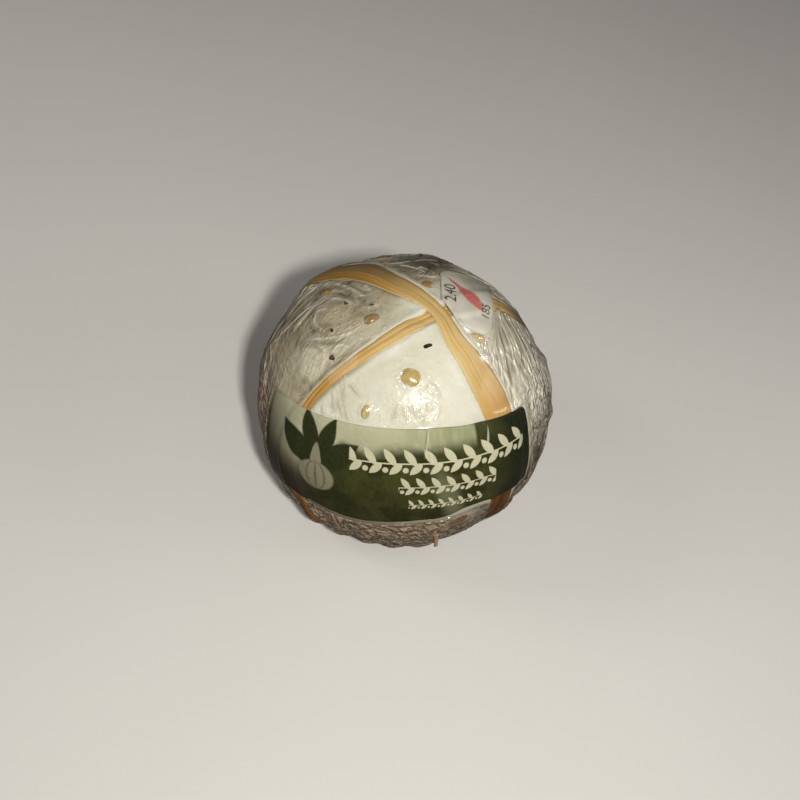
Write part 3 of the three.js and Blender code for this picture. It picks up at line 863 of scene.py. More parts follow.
raffia_finish, tree = new_material("raffia")
strip_uv = node(tree, "ShaderNodeUVMap", uv_map="strip").outputs[0]
parts = node(tree, "ShaderNodeSeparateXYZ", {0: strip_uv}).outputs
place = object_place(tree)
edge = attribute(tree, "edge")
coarse = use_group(tree, fibres, Along=parts[0], Across=parts[1], Count=6.0, Stretch=0.03)["Mask"]
fine = use_group(tree, fibres, Along=parts[0], Across=parts[1], Count=30.0, Stretch=0.012)["Mask"]
patch = use_group(tree, mottle, Place=place, Scale=55.0, Low=0.35, High=0.65)["Mask"]
colour = mix_colours(tree, coarse, STRAW, PALE_STRAW)
colour = tinted(tree, colour, fine, 0.4, FINE_FIBRE)
colour = tinted(tree, colour, patch, 0.3, TAN_PATCH)

# %% Painted shade on the far legs, and painted highlight and shade on the edges
SHADED_EDGE_BROWN, GOLDEN = (0.11, 0.055, 0.005), (0.62, 0.34, 0.04)
COARSE_BROWN, FINE_BROWN, STRIPE_BROWN = (0.3, 0.15, 0.02), (0.55, 0.35, 0.09), (0.2, 0.1, 0.015)
EDGE_HIGHLIGHT, EDGE_SHADE = (0.85, 0.74, 0.48), (0.3, 0.19, 0.07)
# How far the sine runs, in radians, from the middle of a band to its edge: six stripes in all.
STRIPE_RUN = 19.0

far_shade = attribute(tree, "far_shade")
# Painted shade on the far legs: dark along one edge, golden along the other.
far_shade_colour = mix_colours(tree, ramp_between(tree, edge, -0.8, 0.6), SHADED_EDGE_BROWN, GOLDEN)
far_shade_colour = tinted(tree, far_shade_colour, coarse, 0.85, COARSE_BROWN)
far_shade_colour = tinted(tree, far_shade_colour, fine, 0.3, FINE_BROWN)
wave = math_node(tree, "SINE", math_node(tree, "MULTIPLY", edge, STRIPE_RUN))
stripe = math_node(tree, "MULTIPLY", wave, 0.5, clamp=True)
far_shade_colour = mix_colours(tree, stripe, far_shade_colour, STRIPE_BROWN)
colour = tinted(tree, colour, far_shade, 0.95, far_shade_colour)
# A painted highlight along one edge of every band and painted shade along the other.
colour = mix_colours(tree, ramp_between(tree, edge, 0.72, 0.95, 0.0, 0.75), colour, EDGE_HIGHLIGHT)
colour = mix_colours(tree, ramp_between(tree, edge, -0.95, -0.75, 0.6, 0.0), colour, EDGE_SHADE)

# %% Raffia near the foot
AMBER = (0.7, 0.38, 0.08)
LEFT_END, RIGHT_END_SHADE = (0.62, 0.25, 0.035), (0.08, 0.02, 0.002)
LEFT_STREAK, RIGHT_STREAK = (0.55, 0.3, 0.1), (0.28, 0.11, 0.02)
BLEACHED = (0.6, 0.4, 0.27)
AMBER_FROM, AMBER_FULL = 0.0775, 0.066
END_FROM, END_FULL = 0.056, 0.043

height = node(tree, "ShaderNodeSeparateXYZ", {0: place}).outputs[2]
unshaded = ramp_between(tree, far_shade, 0.0, 1.0, 1.0, 0.1)
amber_low = math_node(tree, "MULTIPLY", ramp_between(tree, height, AMBER_FULL, AMBER_FROM, 0.9, 0.0), unshaded)
colour = mix_colours(tree, amber_low, colour, AMBER)
right_end = attribute(tree, "right end")
# The right end is painted almost black, as shade.
end_colour_and_shade = mix_colours(tree, right_end, LEFT_END, RIGHT_END_SHADE)
end_streak = mix_colours(tree, right_end, LEFT_STREAK, RIGHT_STREAK)
end_colour_and_shade = tinted(tree, end_colour_and_shade, coarse, 0.5, end_streak)
colour = mix_colours(tree, ramp_between(tree, height, END_FULL, END_FROM, 0.95, 0.0), colour, end_colour_and_shade)
colour = mix_colours(tree, attribute(tree, "bleached"), colour, BLEACHED)
bump = node(tree, "ShaderNodeBump", {"Strength": 0.35, "Distance": 0.0002, "Height": fine})
surface(tree, {
    "Base Color": colour, "Roughness": ramp_between(tree, fine, 0.0, 1.0, 0.45, 0.6),
    "Normal": bump.outputs[0], "Specular IOR Level": 0.12,
})

# %% [markdown]
# Each band is three strips: a wide one below and two narrower ones that lie higher, to the left and
# the right of its middle. The strips of a band are joined into one mesh, and where a loop meets its
# own start the doubled points are welded.

# %% Lay the two bands
# Middle, width, level, pleats and seed of each strip.
BAND_STRIPS = [(0.0, 1.0, 0.3, 2.5, 1), (-0.45, 0.5, 0.6, 1.5, 2), (0.4, 0.52, 0.85, 1.5, 3)]


def raffia_band(name, replaced, route, shift, rows):
    strips = []
    for number, (middle, width, level, pleats, seed) in enumerate(BAND_STRIPS):
        strip = f"strip_{number}"
        strips.append(strip_mesh(strip, route, middle, width, level, pleats, seed + shift, rows))
    piece = add_piece(name, join_meshes(name, strips), raffia_finish, "raffia", replaced)
    thicken(piece, STRIP_THICK)
    for mesh in strips:
        bpy.data.meshes.remove(mesh)


raffia_band("raffia_over", "raffia_band_over", over_route, shift=0.3, rows=14)
raffia_band("raffia_under", "raffia_band_under", under_route, shift=7.6, rows=10)

# %% [markdown]
# A short end of raffia pokes out from under the label. It is a thin pale strip that lies on the film
# and springs away from it at its tip.

# %% The loose end
END_TURN, END_LEAN = 29.0, 2.0
END_START, END_STOP = 92, 101
END_WIDTH, END_TAPER, END_THICK = 1.7, 0.25, 0.3
END_REST, END_SPRING, END_CROWN, END_PLEAT = 0.35, 1.7, 0.35, 0.1

end_mesh, along, across = grid_mesh("raffia_loose_end", columns=40, rows=8)
share = (along + 1) / 2
half = np.degrees((1 - END_TAPER * share) * END_WIDTH / 2 / BALL_RADIUS)
d = direction(END_START + (END_STOP - END_START) * share, END_TURN + END_LEAN * share - across * half)
lift = END_REST + END_SPRING * share ** 2 + END_CROWN * (1 - across ** 2) + END_PLEAT * np.sin(5 * across)
put_points(end_mesh, d * (film_radius(survey(d)) + lift)[:, None])
add_uv(end_mesh, along * 0.4, across * 0.15 + 0.3, "strip")
add_mask(end_mesh, "bleached", 0.6 + 0.2 * share)
end = add_piece("raffia_loose_end", end_mesh, raffia_finish, "raffia", "raffia_end")
thicken(end, END_THICK)
print("loose end is", round(math.radians(END_STOP - END_START) * BALL_RADIUS, 1), "mm long")

# %% [markdown]
# ## The label
# The label is coated paper bent round the ball. Paper can't stretch, so on a ball it buckles: its
# edges wave a little, and three short folds run down from its top edge, two of them sharp. We bend a
# flat grid by the label's own two measures, along it and down it, and keep the same measures in a UV
# map, in centimetres, for the print.

# %% Shape the label
LABEL_LIFT, PAPER_THICK = 0.35, 0.4
PAPER_SHEET, SHEET_RISE = 0.2, 0.25
PRESSED, PRESS_REACH = 0.4, 0.8
WAVE_HEIGHT, EDGE_WAVE, EDGE_REACH = 0.1, 0.12, 2.5
# Each fold as its place along the label, its top, its bottom, how far it rises and its width.
LABEL_FOLDS = [(10.5, -17, -6, 0.35, 0.7), (29.6, -14.5, -8, 0.25, 0.6), (-14, -17, -9, 0.12, 1.2)]
FOLD_LEAN = 0.12


def corner_cut(along, length, corner):
    """How much a round corner takes off the height of a paper at each place along it."""
    past = np.maximum(np.abs(along) - (length / 2 - corner), 0)
    return corner - np.sqrt(np.maximum(corner ** 2 - past ** 2, 0))


def label_direction(along, down):
    """Unit vectors for places on the label, the other way round from label_place."""
    turn = LABEL_TURN + along / LABEL_ARM
    angle = LABEL_FROM_AXIS + down / BALL_RADIUS
    ring = LABEL_EAST * np.cos(turn)[:, None] + LABEL_SOUTH * np.sin(turn)[:, None]
    return unit(ring * np.sin(angle)[:, None] + LABEL_AXIS * np.cos(angle)[:, None])


label_mesh, along, across = grid_mesh("paper_label", columns=280, rows=84)
along = along * LABEL_LENGTH / 2
cut = corner_cut(along, LABEL_LENGTH, LABEL_CORNER)
above, below = label_height(along, 1) - cut, label_height(along, 2) - cut
down = -above + (above + below) * (1 - across) / 2
d = label_direction(along, down)
edge = np.minimum(down + above, below - down)
plane = np.stack([along, down, 0 * along], -1)
height = WAVE_HEIGHT * noise_at(plane / 7, 3)
height += EDGE_WAVE * np.exp(-edge / EDGE_REACH) * noise_at(plane / 3.5, 4)
for place, top, bottom, high, width in LABEL_FOLDS:
    run = rise(down, top - 2, top) * fall(down, bottom, bottom + 5)
    height += high * run * bell(along - place - FOLD_LEAN * (down - top), width)
edge = np.minimum(edge, LABEL_LENGTH / 2 - np.abs(along))
height -= PRESSED * np.exp(-edge / PRESS_REACH)
put_points(label_mesh, d * (film_radius(survey(d)) + LABEL_LIFT + SHEET_RISE + height)[:, None])
add_uv(label_mesh, along * UV_PER_MM, down * UV_PER_MM)
print("label is", LABEL_LENGTH, "mm long and", round(float((above + below).max()), 1), "mm high at most")

# %% [markdown]
# Simple printed shapes are made by one group. It moves a point of the UV map into the shape's own
# turned and scaled frame and measures how far out it is there, which gives masks of an ellipse and of
# a leaf. A leaf is the place where two curves enclose the line between its tips, so its mask needs
# only a square and an absolute value. The edges of the masks are soft, as ink on paper is.

# %% Printed shapes
printed, given, result = new_group(
    "printed shape", {"U": 0.0, "V": 0.0, "Middle U": 0.0, "Middle V": 0.0, "Half length": 1.0,
                      "Half height": 1.0, "Turn": 0.0, "Soft": 0.1},
    {"Ellipse": "NodeSocketFloat", "Leaf": "NodeSocketFloat"}
)
du = math_node(printed, "SUBTRACT", given["U"], given["Middle U"])
dv = math_node(printed, "SUBTRACT", given["V"], given["Middle V"])
spot = node(printed, "ShaderNodeCombineXYZ", {"X": du, "Y": dv}).outputs[0]
turned = node(printed, "ShaderNodeVectorRotate", {"Vector": spot, "Angle": given["Turn"]},
              rotation_type="Z_AXIS").outputs[0]
size = node(printed, "ShaderNodeCombineXYZ", {"X": given["Half length"], "Y": given["Half height"],
                                              "Z": 1.0}).outputs[0]
scaled = node(printed, "ShaderNodeVectorMath", {0: turned, 1: size}, operation="DIVIDE").outputs[0]
low = math_node(printed, "SUBTRACT", 1.0, given["Soft"])
high = math_node(printed, "ADD", 1.0, given["Soft"])
reach = node(printed, "ShaderNodeVectorMath", {0: scaled}, operation="LENGTH").outputs["Value"]
printed.links.new(ramp_between(printed, reach, low, high, 1.0, 0.0), result["Ellipse"])
axes = node(printed, "ShaderNodeSeparateXYZ", {0: scaled}).outputs
curve = math_node(printed, "MULTIPLY", axes[0], axes[0])
reach = math_node(printed, "ADD", curve, math_node(printed, "ABSOLUTE", axes[1]))
printed.links.new(ramp_between(printed, reach, low, high, 1.0, 0.0), result["Leaf"])


def printed_shape(tree, uv, middle, half, turn, soft):
    """The masks of one shape, with sizes in centimetres on the paper."""
    return use_group(tree, printed, U=uv[0], V=uv[1], Middle_U=middle[0], Middle_V=middle[1],
                     Half_length=half[0], Half_height=half[1], Turn=turn, Soft=soft)


def ellipse(tree, uv, middle, half, turn=0.0, soft=0.08):
    return printed_shape(tree, uv, middle, half, turn, soft)["Ellipse"]


def leaf(tree, uv, middle, half, turn=0.0, soft=0.12):
    return printed_shape(tree, uv, middle, half, turn, soft)["Leaf"]


# %% [markdown]
# The print is fields of dark green, pale grey-green and grey-brown with plain shapes on them, and it is drawn
# in the material, in centimetres along and down the label. First come the fields. The pale field lies along
# the upper edge and reaches down over the whole left end. Its lower edge is soft and hazy, as an airbrush
# leaves it. On the left the field dims to brown, partly the print's own tone and partly painted shade, and
# low down it is painted darker, as shade.

# %% Label print
GREEN, DEEP_GREEN, END_GREEN = (0.066, 0.07, 0.018), (0.028, 0.032, 0.006), (0.008, 0.012, 0.002)
SKY, SKY_RIGHT, SKY_CLOUD = (0.62, 0.61, 0.43), (0.34, 0.38, 0.2), (0.3, 0.33, 0.19)
LEFT_BROWN_AND_SHADE, LOW_SHADE, REFLECTION_SMEAR = (0.13, 0.105, 0.065), (0.04, 0.034, 0.02), (0.4, 0.42, 0.26)
SKY_FOOT = -1.12

label_finish, tree = new_material("label paper")
print_uv = node(tree, "ShaderNodeUVMap", uv_map="print").outputs[0]
uv = node(tree, "ShaderNodeSeparateXYZ", {0: print_uv}).outputs
place = object_place(tree)
cloud = use_group(tree, mottle, Place=place, Scale=110.0, Low=0.35, High=0.65)["Mask"]
grain = use_group(tree, mottle, Place=place, Scale=900.0, Low=0.35, High=0.65)["Mask"]
hazy = use_group(tree, mottle, Place=place, Scale=60.0, Low=0.42, High=0.62)["Mask"]
streak = use_group(tree, fibres, Along=uv[1], Across=uv[0], Count=2.6, Stretch=0.25)["Mask"]

colour = mix_colours(tree, cloud, DEEP_GREEN, GREEN)
colour = mix_colours(tree, ramp_between(tree, uv[0], 2.9, 4.1, 0.0, 0.9), colour, END_GREEN)

# %% The pale field of the label
left_slope = ramp_between(tree, uv[0], -2.6, -1.5, 1.75, 0.0)
end_slope = ramp_between(tree, uv[0], -3.4, -2.75, 1.8, 0.0)
haze = math_node(tree, "MULTIPLY", hazy, 0.2)
limit = math_node(tree, "ADD", combine(tree, "ADD", left_slope, haze, end_slope), SKY_FOOT)
past_limit = math_node(tree, "SUBTRACT", uv[1], limit)
sky = combine(tree, "MULTIPLY", ramp_between(tree, past_limit, -0.2, 0.3, 1.0, 0.0),
              ramp_between(tree, uv[0], 2.55, 2.66, 1.0, 0.0))
pale_field_and_shade = mix_colours(tree, ramp_between(tree, uv[0], -0.6, 2.4), SKY, SKY_RIGHT)
pale_field_and_shade = tinted(tree, pale_field_and_shade, streak, 0.45, SKY)
pale_field_and_shade = tinted(tree, pale_field_and_shade, cloud, 0.25, SKY_CLOUD)
leftward = math_node(tree, "SUBTRACT", uv[0], math_node(tree, "MULTIPLY", uv[1], 1.2))
# On the left the pale field dims to brown, partly the print's tone and partly painted shade.
pale_field_and_shade = mix_colours(tree, ramp_between(tree, leftward, -5.2, -1.6, 0.97, 0.0), pale_field_and_shade, LEFT_BROWN_AND_SHADE)
# Low down the pale field is painted darker, as shade.
pale_field_and_shade = mix_colours(tree, ramp_between(tree, uv[1], -0.3, 0.8, 0.0, 0.9), pale_field_and_shade, LOW_SHADE)
colour = mix_colours(tree, sky, colour, pale_field_and_shade)
# A pale smear right of the middle is a painted reflection.
colour = tinted(tree, colour, ellipse(tree, uv, (1.75, 0.75), (0.3, 1.1), 0.35, 0.6), 0.35, REFLECTION_SMEAR)

# %% [markdown]
# On the left stands a plain drawing: a pale garlic bulb with dark leaves behind it, made of ellipses
# and leaves. Along the rest run cream vines, a large one and two small ones. A vine repeats, so we
# draw one stretch of it and wrap the place along the label. A long vine then takes no more nodes than
# a short one.

# %% Label ornament
LEAF_GREEN = (0.03, 0.038, 0.01)
BULB_SKIN, CLOVE_LINE = (0.36, 0.34, 0.23), (0.1, 0.1, 0.05)
BULB_MIDDLE = (-2.4, 0.3)
# Middle, half size and turn of each leaf behind the bulb.
BULB_LEAVES = [((-3.1, -0.5), (0.95, 0.4), -0.6), ((-1.75, -0.5), (0.9, 0.38), 0.65),
               ((-2.65, -0.95), (0.85, 0.3), -1.2), ((-2.1, -0.95), (0.8, 0.28), 1.25)]

leaves = combine(tree, "MAXIMUM", *[leaf(tree, uv, *entry) for entry in BULB_LEAVES])
colour = mix_colours(tree, leaves, colour, LEAF_GREEN)
bulb = combine(tree, "MAXIMUM", ellipse(tree, uv, BULB_MIDDLE, (0.62, 0.5)),
               leaf(tree, uv, (-2.4, -0.25), (0.2, 0.55)))
outer = ellipse(tree, uv, BULB_MIDDLE, (0.36, 0.5), 0.0, 0.05)
inner = ellipse(tree, uv, BULB_MIDDLE, (0.29, 0.48), 0.0, 0.05)
cloves = combine(tree, "MAXIMUM", math_node(tree, "SUBTRACT", outer, inner, clamp=True),
                 leaf(tree, uv, BULB_MIDDLE, (0.05, 0.5)))
bulb_colour = mix_colours(tree, math_node(tree, "MULTIPLY", cloves, 0.6), BULB_SKIN, CLOVE_LINE)
colour = mix_colours(tree, bulb, colour, bulb_colour)

# %% Vines on the label
INK_CREAM = (0.74, 0.72, 0.52)
SHARP = 0.02
# Start, end, middle, pitch and size of each vine, in centimetres.
VINES = [(-1.3, 4.45, -0.6, 0.6, 0.34), (0.2, 3.2, 0.2, 0.45, 0.25), (0.5, 2.8, 0.85, 0.3, 0.15)]


def vine(tree, uv, start, end, middle, pitch, size):
    """A row of leaves that lean left above a stem and right below it, with a berry to each pair."""
    wrap = {0: uv[0], 1: pitch / 2, 2: -pitch / 2}
    spot = (node(tree, "ShaderNodeMath", wrap, operation="WRAP").outputs[0], uv[1])
    upper = leaf(tree, spot, (-0.1 * pitch, middle - 0.55 * size), (size, 0.36 * size), -0.95)
    lower = leaf(tree, spot, (0.2 * pitch, middle + 0.5 * size), (0.8 * size, 0.34 * size), 0.75)
    berry = ellipse(tree, spot, (-0.33 * pitch, middle + 0.62 * size), (0.26 * size, 0.26 * size), 0.0, 0.2)
    stem = ellipse(tree, spot, (0.0, middle), (pitch, 0.07 * size), 0.0, 0.2)
    from_start = ramp_between(tree, uv[0], start - SHARP, start + SHARP)
    to_end = ramp_between(tree, uv[0], end - SHARP, end + SHARP, 1.0, 0.0)
    mask = combine(tree, "MAXIMUM", upper, lower, berry, stem)
    return combine(tree, "MULTIPLY", mask, from_start, to_end)


rows = combine(tree, "MAXIMUM", *[vine(tree, uv, *entry) for entry in VINES])
colour = mix_colours(tree, rows, colour, INK_CREAM)

# %% [markdown]
# Along each of two sharp folds a pale line is painted, as highlight, and beside the first a thin line of
# painted shadow. A little grain goes over all the print, and the bump gives the paper the faint marks of the
# film that is drawn over it.

# %% Painted highlight on the folds, and paper grain
FOLD_HIGHLIGHT, FOLD_SHADOW, GRAIN = (0.72, 0.72, 0.62), (0.16, 0.18, 0.09), (0.3, 0.3, 0.2)

colour = tinted(tree, colour, grain, 0.035, GRAIN)
# Painted highlight along two folds.
fold_highlight = combine(tree, "MAXIMUM", leaf(tree, uv, (1.04, -1.25), (0.5, 0.028), 1.42, 0.4),
               leaf(tree, uv, (2.98, -1.1), (0.34, 0.03), 1.45, 0.4))
colour = tinted(tree, colour, fold_highlight, 0.7, FOLD_HIGHLIGHT)
# A thin painted shadow beside the first fold.
colour = tinted(tree, colour, leaf(tree, uv, (1.0, -1.25), (0.5, 0.03), 1.42, 0.4), 0.4, FOLD_SHADOW)
marks = use_group(tree, creases, Flow=place, Scale=150.0, Width=0.05)
bump = node(tree, "ShaderNodeBump", {"Strength": 0.3, "Distance": 0.0002, "Height": marks["Height"]})
surface(tree, {
    "Base Color": colour, "Roughness": ramp_between(tree, grain, 0.0, 1.0, 0.5, 0.6),
    "Normal": bump.outputs[0], "Specular IOR Level": 0.1,
})
label = add_piece("paper_label", label_mesh, label_finish, "label_paper", "label")
thicken(label, PAPER_SHEET)

# %% [markdown]
# ## The price sticker
# A small white sticker with round corners lies beside the crossing, and one of its corners is cut at
# a slant. It has a worn red bar and a few plain figures. The figures are text, turned into a mesh and
# then bent round the ball like the paper.

# %% Shape the sticker
STICKER_SLANT_FROM, STICKER_SLANT = -5.0, 0.7
STICKER_WAVE = 0.08


def sticker_direction(along, across):
    """Unit vectors for places on the sticker, in millimetres from its middle."""
    reach = np.hypot(along, across) / BALL_RADIUS
    flat = STICKER_FORWARD * along[:, None] + STICKER_RIGHT * across[:, None]
    flat = flat / np.maximum(np.linalg.norm(flat, axis=1, keepdims=True), 1e-9)
    return unit(flat * np.sin(reach)[:, None] + STICKER_MIDDLE * np.cos(reach)[:, None])


sticker_mesh, along, across = grid_mesh("paper_sticker", columns=90, rows=56)
along = along * STICKER_LENGTH / 2
cut = corner_cut(along, STICKER_LENGTH, STICKER_CORNER)
near_edge = -STICKER_WIDTH / 2 + np.maximum(cut, STICKER_SLANT * np.maximum(STICKER_SLANT_FROM - along, 0))
room = STICKER_WIDTH / 2 - cut - near_edge
edge = np.minimum((1 - np.abs(across)) * room / 2, STICKER_LENGTH / 2 - np.abs(along))
across = near_edge + room * (across + 1) / 2
d = sticker_direction(along, across)
plane = np.stack([along, across, 0 * along], -1)
height = STICKER_WAVE * noise_at(plane / 5, 6) - PRESSED * np.exp(-edge / PRESS_REACH)
put_points(sticker_mesh, d * (film_radius(survey(d)) + LABEL_LIFT + SHEET_RISE + height)[:, None])
add_uv(sticker_mesh, along * UV_PER_MM, across * UV_PER_MM)

# %% Sticker finish
OFF_WHITE, WHITE = (0.72, 0.69, 0.6), (0.82, 0.8, 0.72)
GREY_END, GREY_SPOT, FIBRE_GREY = (0.45, 0.44, 0.35), (0.3, 0.34, 0.25), (0.4, 0.4, 0.35)
BAR_RED = (0.72, 0.13, 0.13)

sticker_finish, tree = new_material("sticker paper")
print_uv = node(tree, "ShaderNodeUVMap", uv_map="print").outputs[0]
uv = node(tree, "ShaderNodeSeparateXYZ", {0: print_uv}).outputs
cloud = use_group(tree, mottle, Place=object_place(tree), Scale=160.0, Low=0.35, High=0.65)["Mask"]
fibre = use_group(tree, fibres, Along=uv[0], Across=uv[1], Count=60.0, Stretch=0.5)["Mask"]
colour = mix_colours(tree, cloud, OFF_WHITE, WHITE)
colour = mix_colours(tree, ramp_between(tree, uv[0], 0.0, 1.2, 0.0, 0.12), colour, GREY_END)
colour = tinted(tree, colour, ellipse(tree, uv, (0.9, 0.35), (0.5, 0.55), 0.0, 0.5), 0.45, GREY_SPOT)
bar = combine(tree, "MAXIMUM", leaf(tree, uv, (0.3, -0.3), (0.6, 0.07), 0.75, 0.3),
              leaf(tree, uv, (-0.08, 0.06), (0.62, 0.24), 0.75, 0.25))
wear = use_group(tree, fibres, Along=uv[1], Across=uv[0], Count=22.0, Stretch=0.3, Low=0.3, High=0.5)
left_ink = ramp_between(tree, wear["Mask"], 0.0, 1.0, 0.45, 0.95)
colour = mix_colours(tree, math_node(tree, "MULTIPLY", bar, left_ink), colour, BAR_RED)
colour = tinted(tree, colour, fibre, 0.06, FIBRE_GREY)
surface(tree, {"Base Color": colour, "Roughness": ramp_between(tree, fibre, 0.0, 1.0, 0.4, 0.5)})
sticker = add_piece("paper_sticker", sticker_mesh, sticker_finish, "sticker_paper", "price_sticker")
thicken(sticker, PAPER_SHEET)

# %% Figures on the sticker
INK_BLACK, INK_WORN = (0.03, 0.03, 0.03), (0.09, 0.09, 0.08)
FIGURE_LIFT = 0.38
DIGIT_SHARE = 0.7
# Text, height of a digit and the start of the text, along and across the sticker, in millimetres.
FIGURES = [("2.40", 3.5, (-5.8, -4.4)), ("185", 2.8, (-7.4, 6.9))]

ink_finish, tree = new_material("figure ink")
cloud = use_group(tree, mottle, Place=object_place(tree), Scale=900.0, Low=0.3, High=0.7)["Mask"]
surface(tree, {"Base Color": mix_colours(tree, cloud, INK_BLACK, INK_WORN), "Roughness": 0.5})


def figures_mesh(text, height, corner):
    """Flat text as a mesh, bent on to the sticker. A digit fills a share of the text's size."""
    curve = bpy.data.curves.new("figures", "FONT")
    curve.body = text
    curve.size = height / DIGIT_SHARE
    curve.resolution_u = 6
    holder = bpy.data.objects.new("figures", curve)
    mesh = bpy.data.meshes.new_from_object(holder)
    bpy.data.objects.remove(holder)
    x, y, _ = points_of(mesh).T
    d = sticker_direction(corner[0] + x, corner[1] - y)
    put_points(mesh, d * (film_radius(survey(d)) + LABEL_LIFT + FIGURE_LIFT)[:, None])
    return mesh


figures = join_meshes("price_figures", [figures_mesh(*entry) for entry in FIGURES])
add_piece("price_figures", figures, ink_finish, "sticker_paper")

# %% [markdown]
# ## The film
# The film is what makes the cheese look wrapped. It is so thin that it bends no light: we see
# straight through it, and only its gloss and its creases show. It is drawn tight over the front and
# lies there almost smooth, it runs in long creases down the right side and the back, swirls over the
# left side, and is crumpled in many layers below the label. A cloth simulation would crease it
# anywhere, and here each crease has its place. So each kind of crease is its own noise, stretched
# along spokes or rings round a middle, and it moves real points, so that it shows at the outline too.
# A bend, which is noise itself, keeps the spokes and rings from looking drawn with a ruler.

# %% Creases
def crease(values, width):
    """1 on the line where noise crosses zero, falling to 0 at width from it."""
    return np.clip(1 - np.abs(values) / width, 0, 1) ** 1.5


def around(d, middle):
    """How far each direction is from a middle, and how far round it, in radians."""
    east = unit(np.cross([0, 1, 0], middle))
    return np.arccos(np.clip(d @ middle, -1, 1)), np.arctan2(d @ np.cross(middle, east), d @ east)


def along_spokes(d, middle, count, stretch):
    """A place for noise, stretched along the lines that run out from a middle."""
    away, turn = around(d, middle)
    return np.stack([count * np.cos(turn), count * np.sin(turn), away * stretch], -1)


def along_rings(d, middle, count, stretch):
    """A place for noise, stretched along the rings round a middle."""
    away, turn = around(d, middle)
    return np.stack([stretch * np.cos(turn), stretch * np.sin(turn), count * away], -1)


# %% Noise for each kind of crease
FILM_CUTS = 180
SWIRL_AT = (38, -14)
TOP_MIDDLE, GATHER_MIDDLE, SWIRL_MIDDLE = direction(0, 0), direction(36, -170), direction(*SWIRL_AT)
FAN_MIDDLE, EDDY_MIDDLE, GLINT_MIDDLE = direction(22, -62), direction(42, -74), direction(20, -16)

film_mesh, d = ball_mesh("clear_film", FILM_CUTS)
s = survey(d)
bend = np.stack([noise_at(d * 5, k) for k in (11, 12, 13)], -1)
small_bend = np.stack([noise_at(d * 17, k) for k in (21, 22, 23)], -1)
broad_folds = crease(noise_at(along_spokes(d, GATHER_MIDDLE, 9, 1.7) + bend * 0.6, 14), 0.4)
fine_folds = crease(noise_at(along_spokes(d, GATHER_MIDDLE, 19, 3) + bend * 0.8, 15), 0.35)
swirls = crease(noise_at(along_rings(d, SWIRL_MIDDLE, 17, 1.0) + bend * 0.7, 16), 0.35)
upright = crease(noise_at(along_spokes(d, FAN_MIDDLE, 15, 2.0) + bend * 0.6, 24), 0.5)
crinkle = crease(noise_at(along_spokes(d, GATHER_MIDDLE, 22, 11) + bend, 18), 0.45)
crinkle += 0.6 * crease(noise_at(d * 34 + bend, 19), 0.4)
dimples = noise_at(d * 24 + bend * 0.5, 20)
lumps = np.maximum(noise_at(d * 27 + bend, 31), -0.5)

# %% [markdown]
# Some creases catch the eye, and follow no rule: the upright ones at the front beside the raffia, those that
# fan out below the largest piece of garlic, the long ones that curl over the left side, those behind the
# sticker, and the straight ones down the right side. Their lines are placed one by one, each by the two
# angles of a few points that it runs through. A pale line is a crest, which is raised and milky, and its milk
# is partly a painted highlight. A dark line is a trough, and the material paints shade in it. A bright line
# is a sharp small crest that catches the lamp.

# %% Creases placed one by one
PALE_AT_FRONT = [
    [(40.2, -37.3), (45.2, -29.2)], [(47.5, -36), (49.8, -31.2)], [(48.5, -29.3), (50.7, -24.3)],
    [(47.7, -26.8), (50.5, -20.3)], [(53.5, -34.6), (54.9, -31.5)], [(40.9, -30.8), (41.8, -22.8)],
    [(37.9, -2.9), (42, -1.5)], [(37.9, 0.1), (41.6, 4.9)], [(34.7, 5.6), (40.3, 8.6)],
    [(28.4, 10.9), (31.4, 16.1)], [(27.2, 12.8), (30.2, 19.3)], [(39.5, 19.4), (35.3, 21.2)],
]
PALE_AT_LEFT = [
    [(57.2, -117.5), (66.1, -110.3), (72, -101), (78.3, -92.1), (83.4, -84.9), (81.9, -71.2)],
    [(46.6, -93.6), (54.6, -87.8), (62.1, -83.3), (69.6, -81.1)],
    [(48.7, -89.4), (53.5, -82.9), (58.6, -77.8)], [(43.3, -94), (50.3, -88.2), (56.1, -81.9)],
    [(49.4, -69), (42, -64.3), (34.1, -61), (27.5, -62.4)],
    [(45.8, -94), (37.8, -90.8), (30.1, -84.5)], [(45, -104.5), (36.3, -100.7), (28.8, -93.8)],
    [(43, -70.3), (47, -78), (46.4, -84.9), (41.6, -84.2)],
    [(41.4, -54.5), (37, -55.3), (33.9, -50.5)], [(74.2, -78.5), (76.8, -73.5), (77.8, -65.6)],
    [(45.3, -62.3), (42.7, -56.4), (38.3, -52.9)], [(64.4, -83.6), (70.1, -77.8), (72.2, -70.3)],
    [(32.8, -48.4), (29.9, -50.2)],
]
PALE_BEHIND = [
    [(25.1, -178.3), (28.1, 172), (31.9, 163), (31.1, 151), (27.7, 141)],
    [(46, -147), (44, -155), (45.5, -163), (45.5, -170)],
    [(34.1, -162.9), (31.2, -173.4), (33.2, 175.6)], [(31.2, -139.2), (27.5, -145.9), (23.6, -153.8)],
    [(35.5, -133.4), (33.2, -141.1), (34.3, -149.8)], [(34.1, -152.5), (36.6, -160.3), (38.1, -167.7)],
    [(25.1, -175.5), (27.2, 175.2), (28.3, 166.8), (32.4, 158.9)],
    [(34.1, 158.5), (33.8, 152.9), (30.2, 145.5)], [(25.5, -147.8), (27.1, -153.3), (24.6, -158.1)],
    [(20.7, -145.2), (19.7, -155.5), (19, -166.6)],
]
PALE_AT_RIGHT = [
    [(38, 86.4), (46.7, 83.8), (55.3, 81.4)], [(28.5, 89.6), (38, 86.4), (44.9, 84)],
    [(27.7, 77), (38.4, 73.3), (45.8, 72.5)], [(31.2, 100.1), (41.2, 96), (48.9, 91.1)],
]
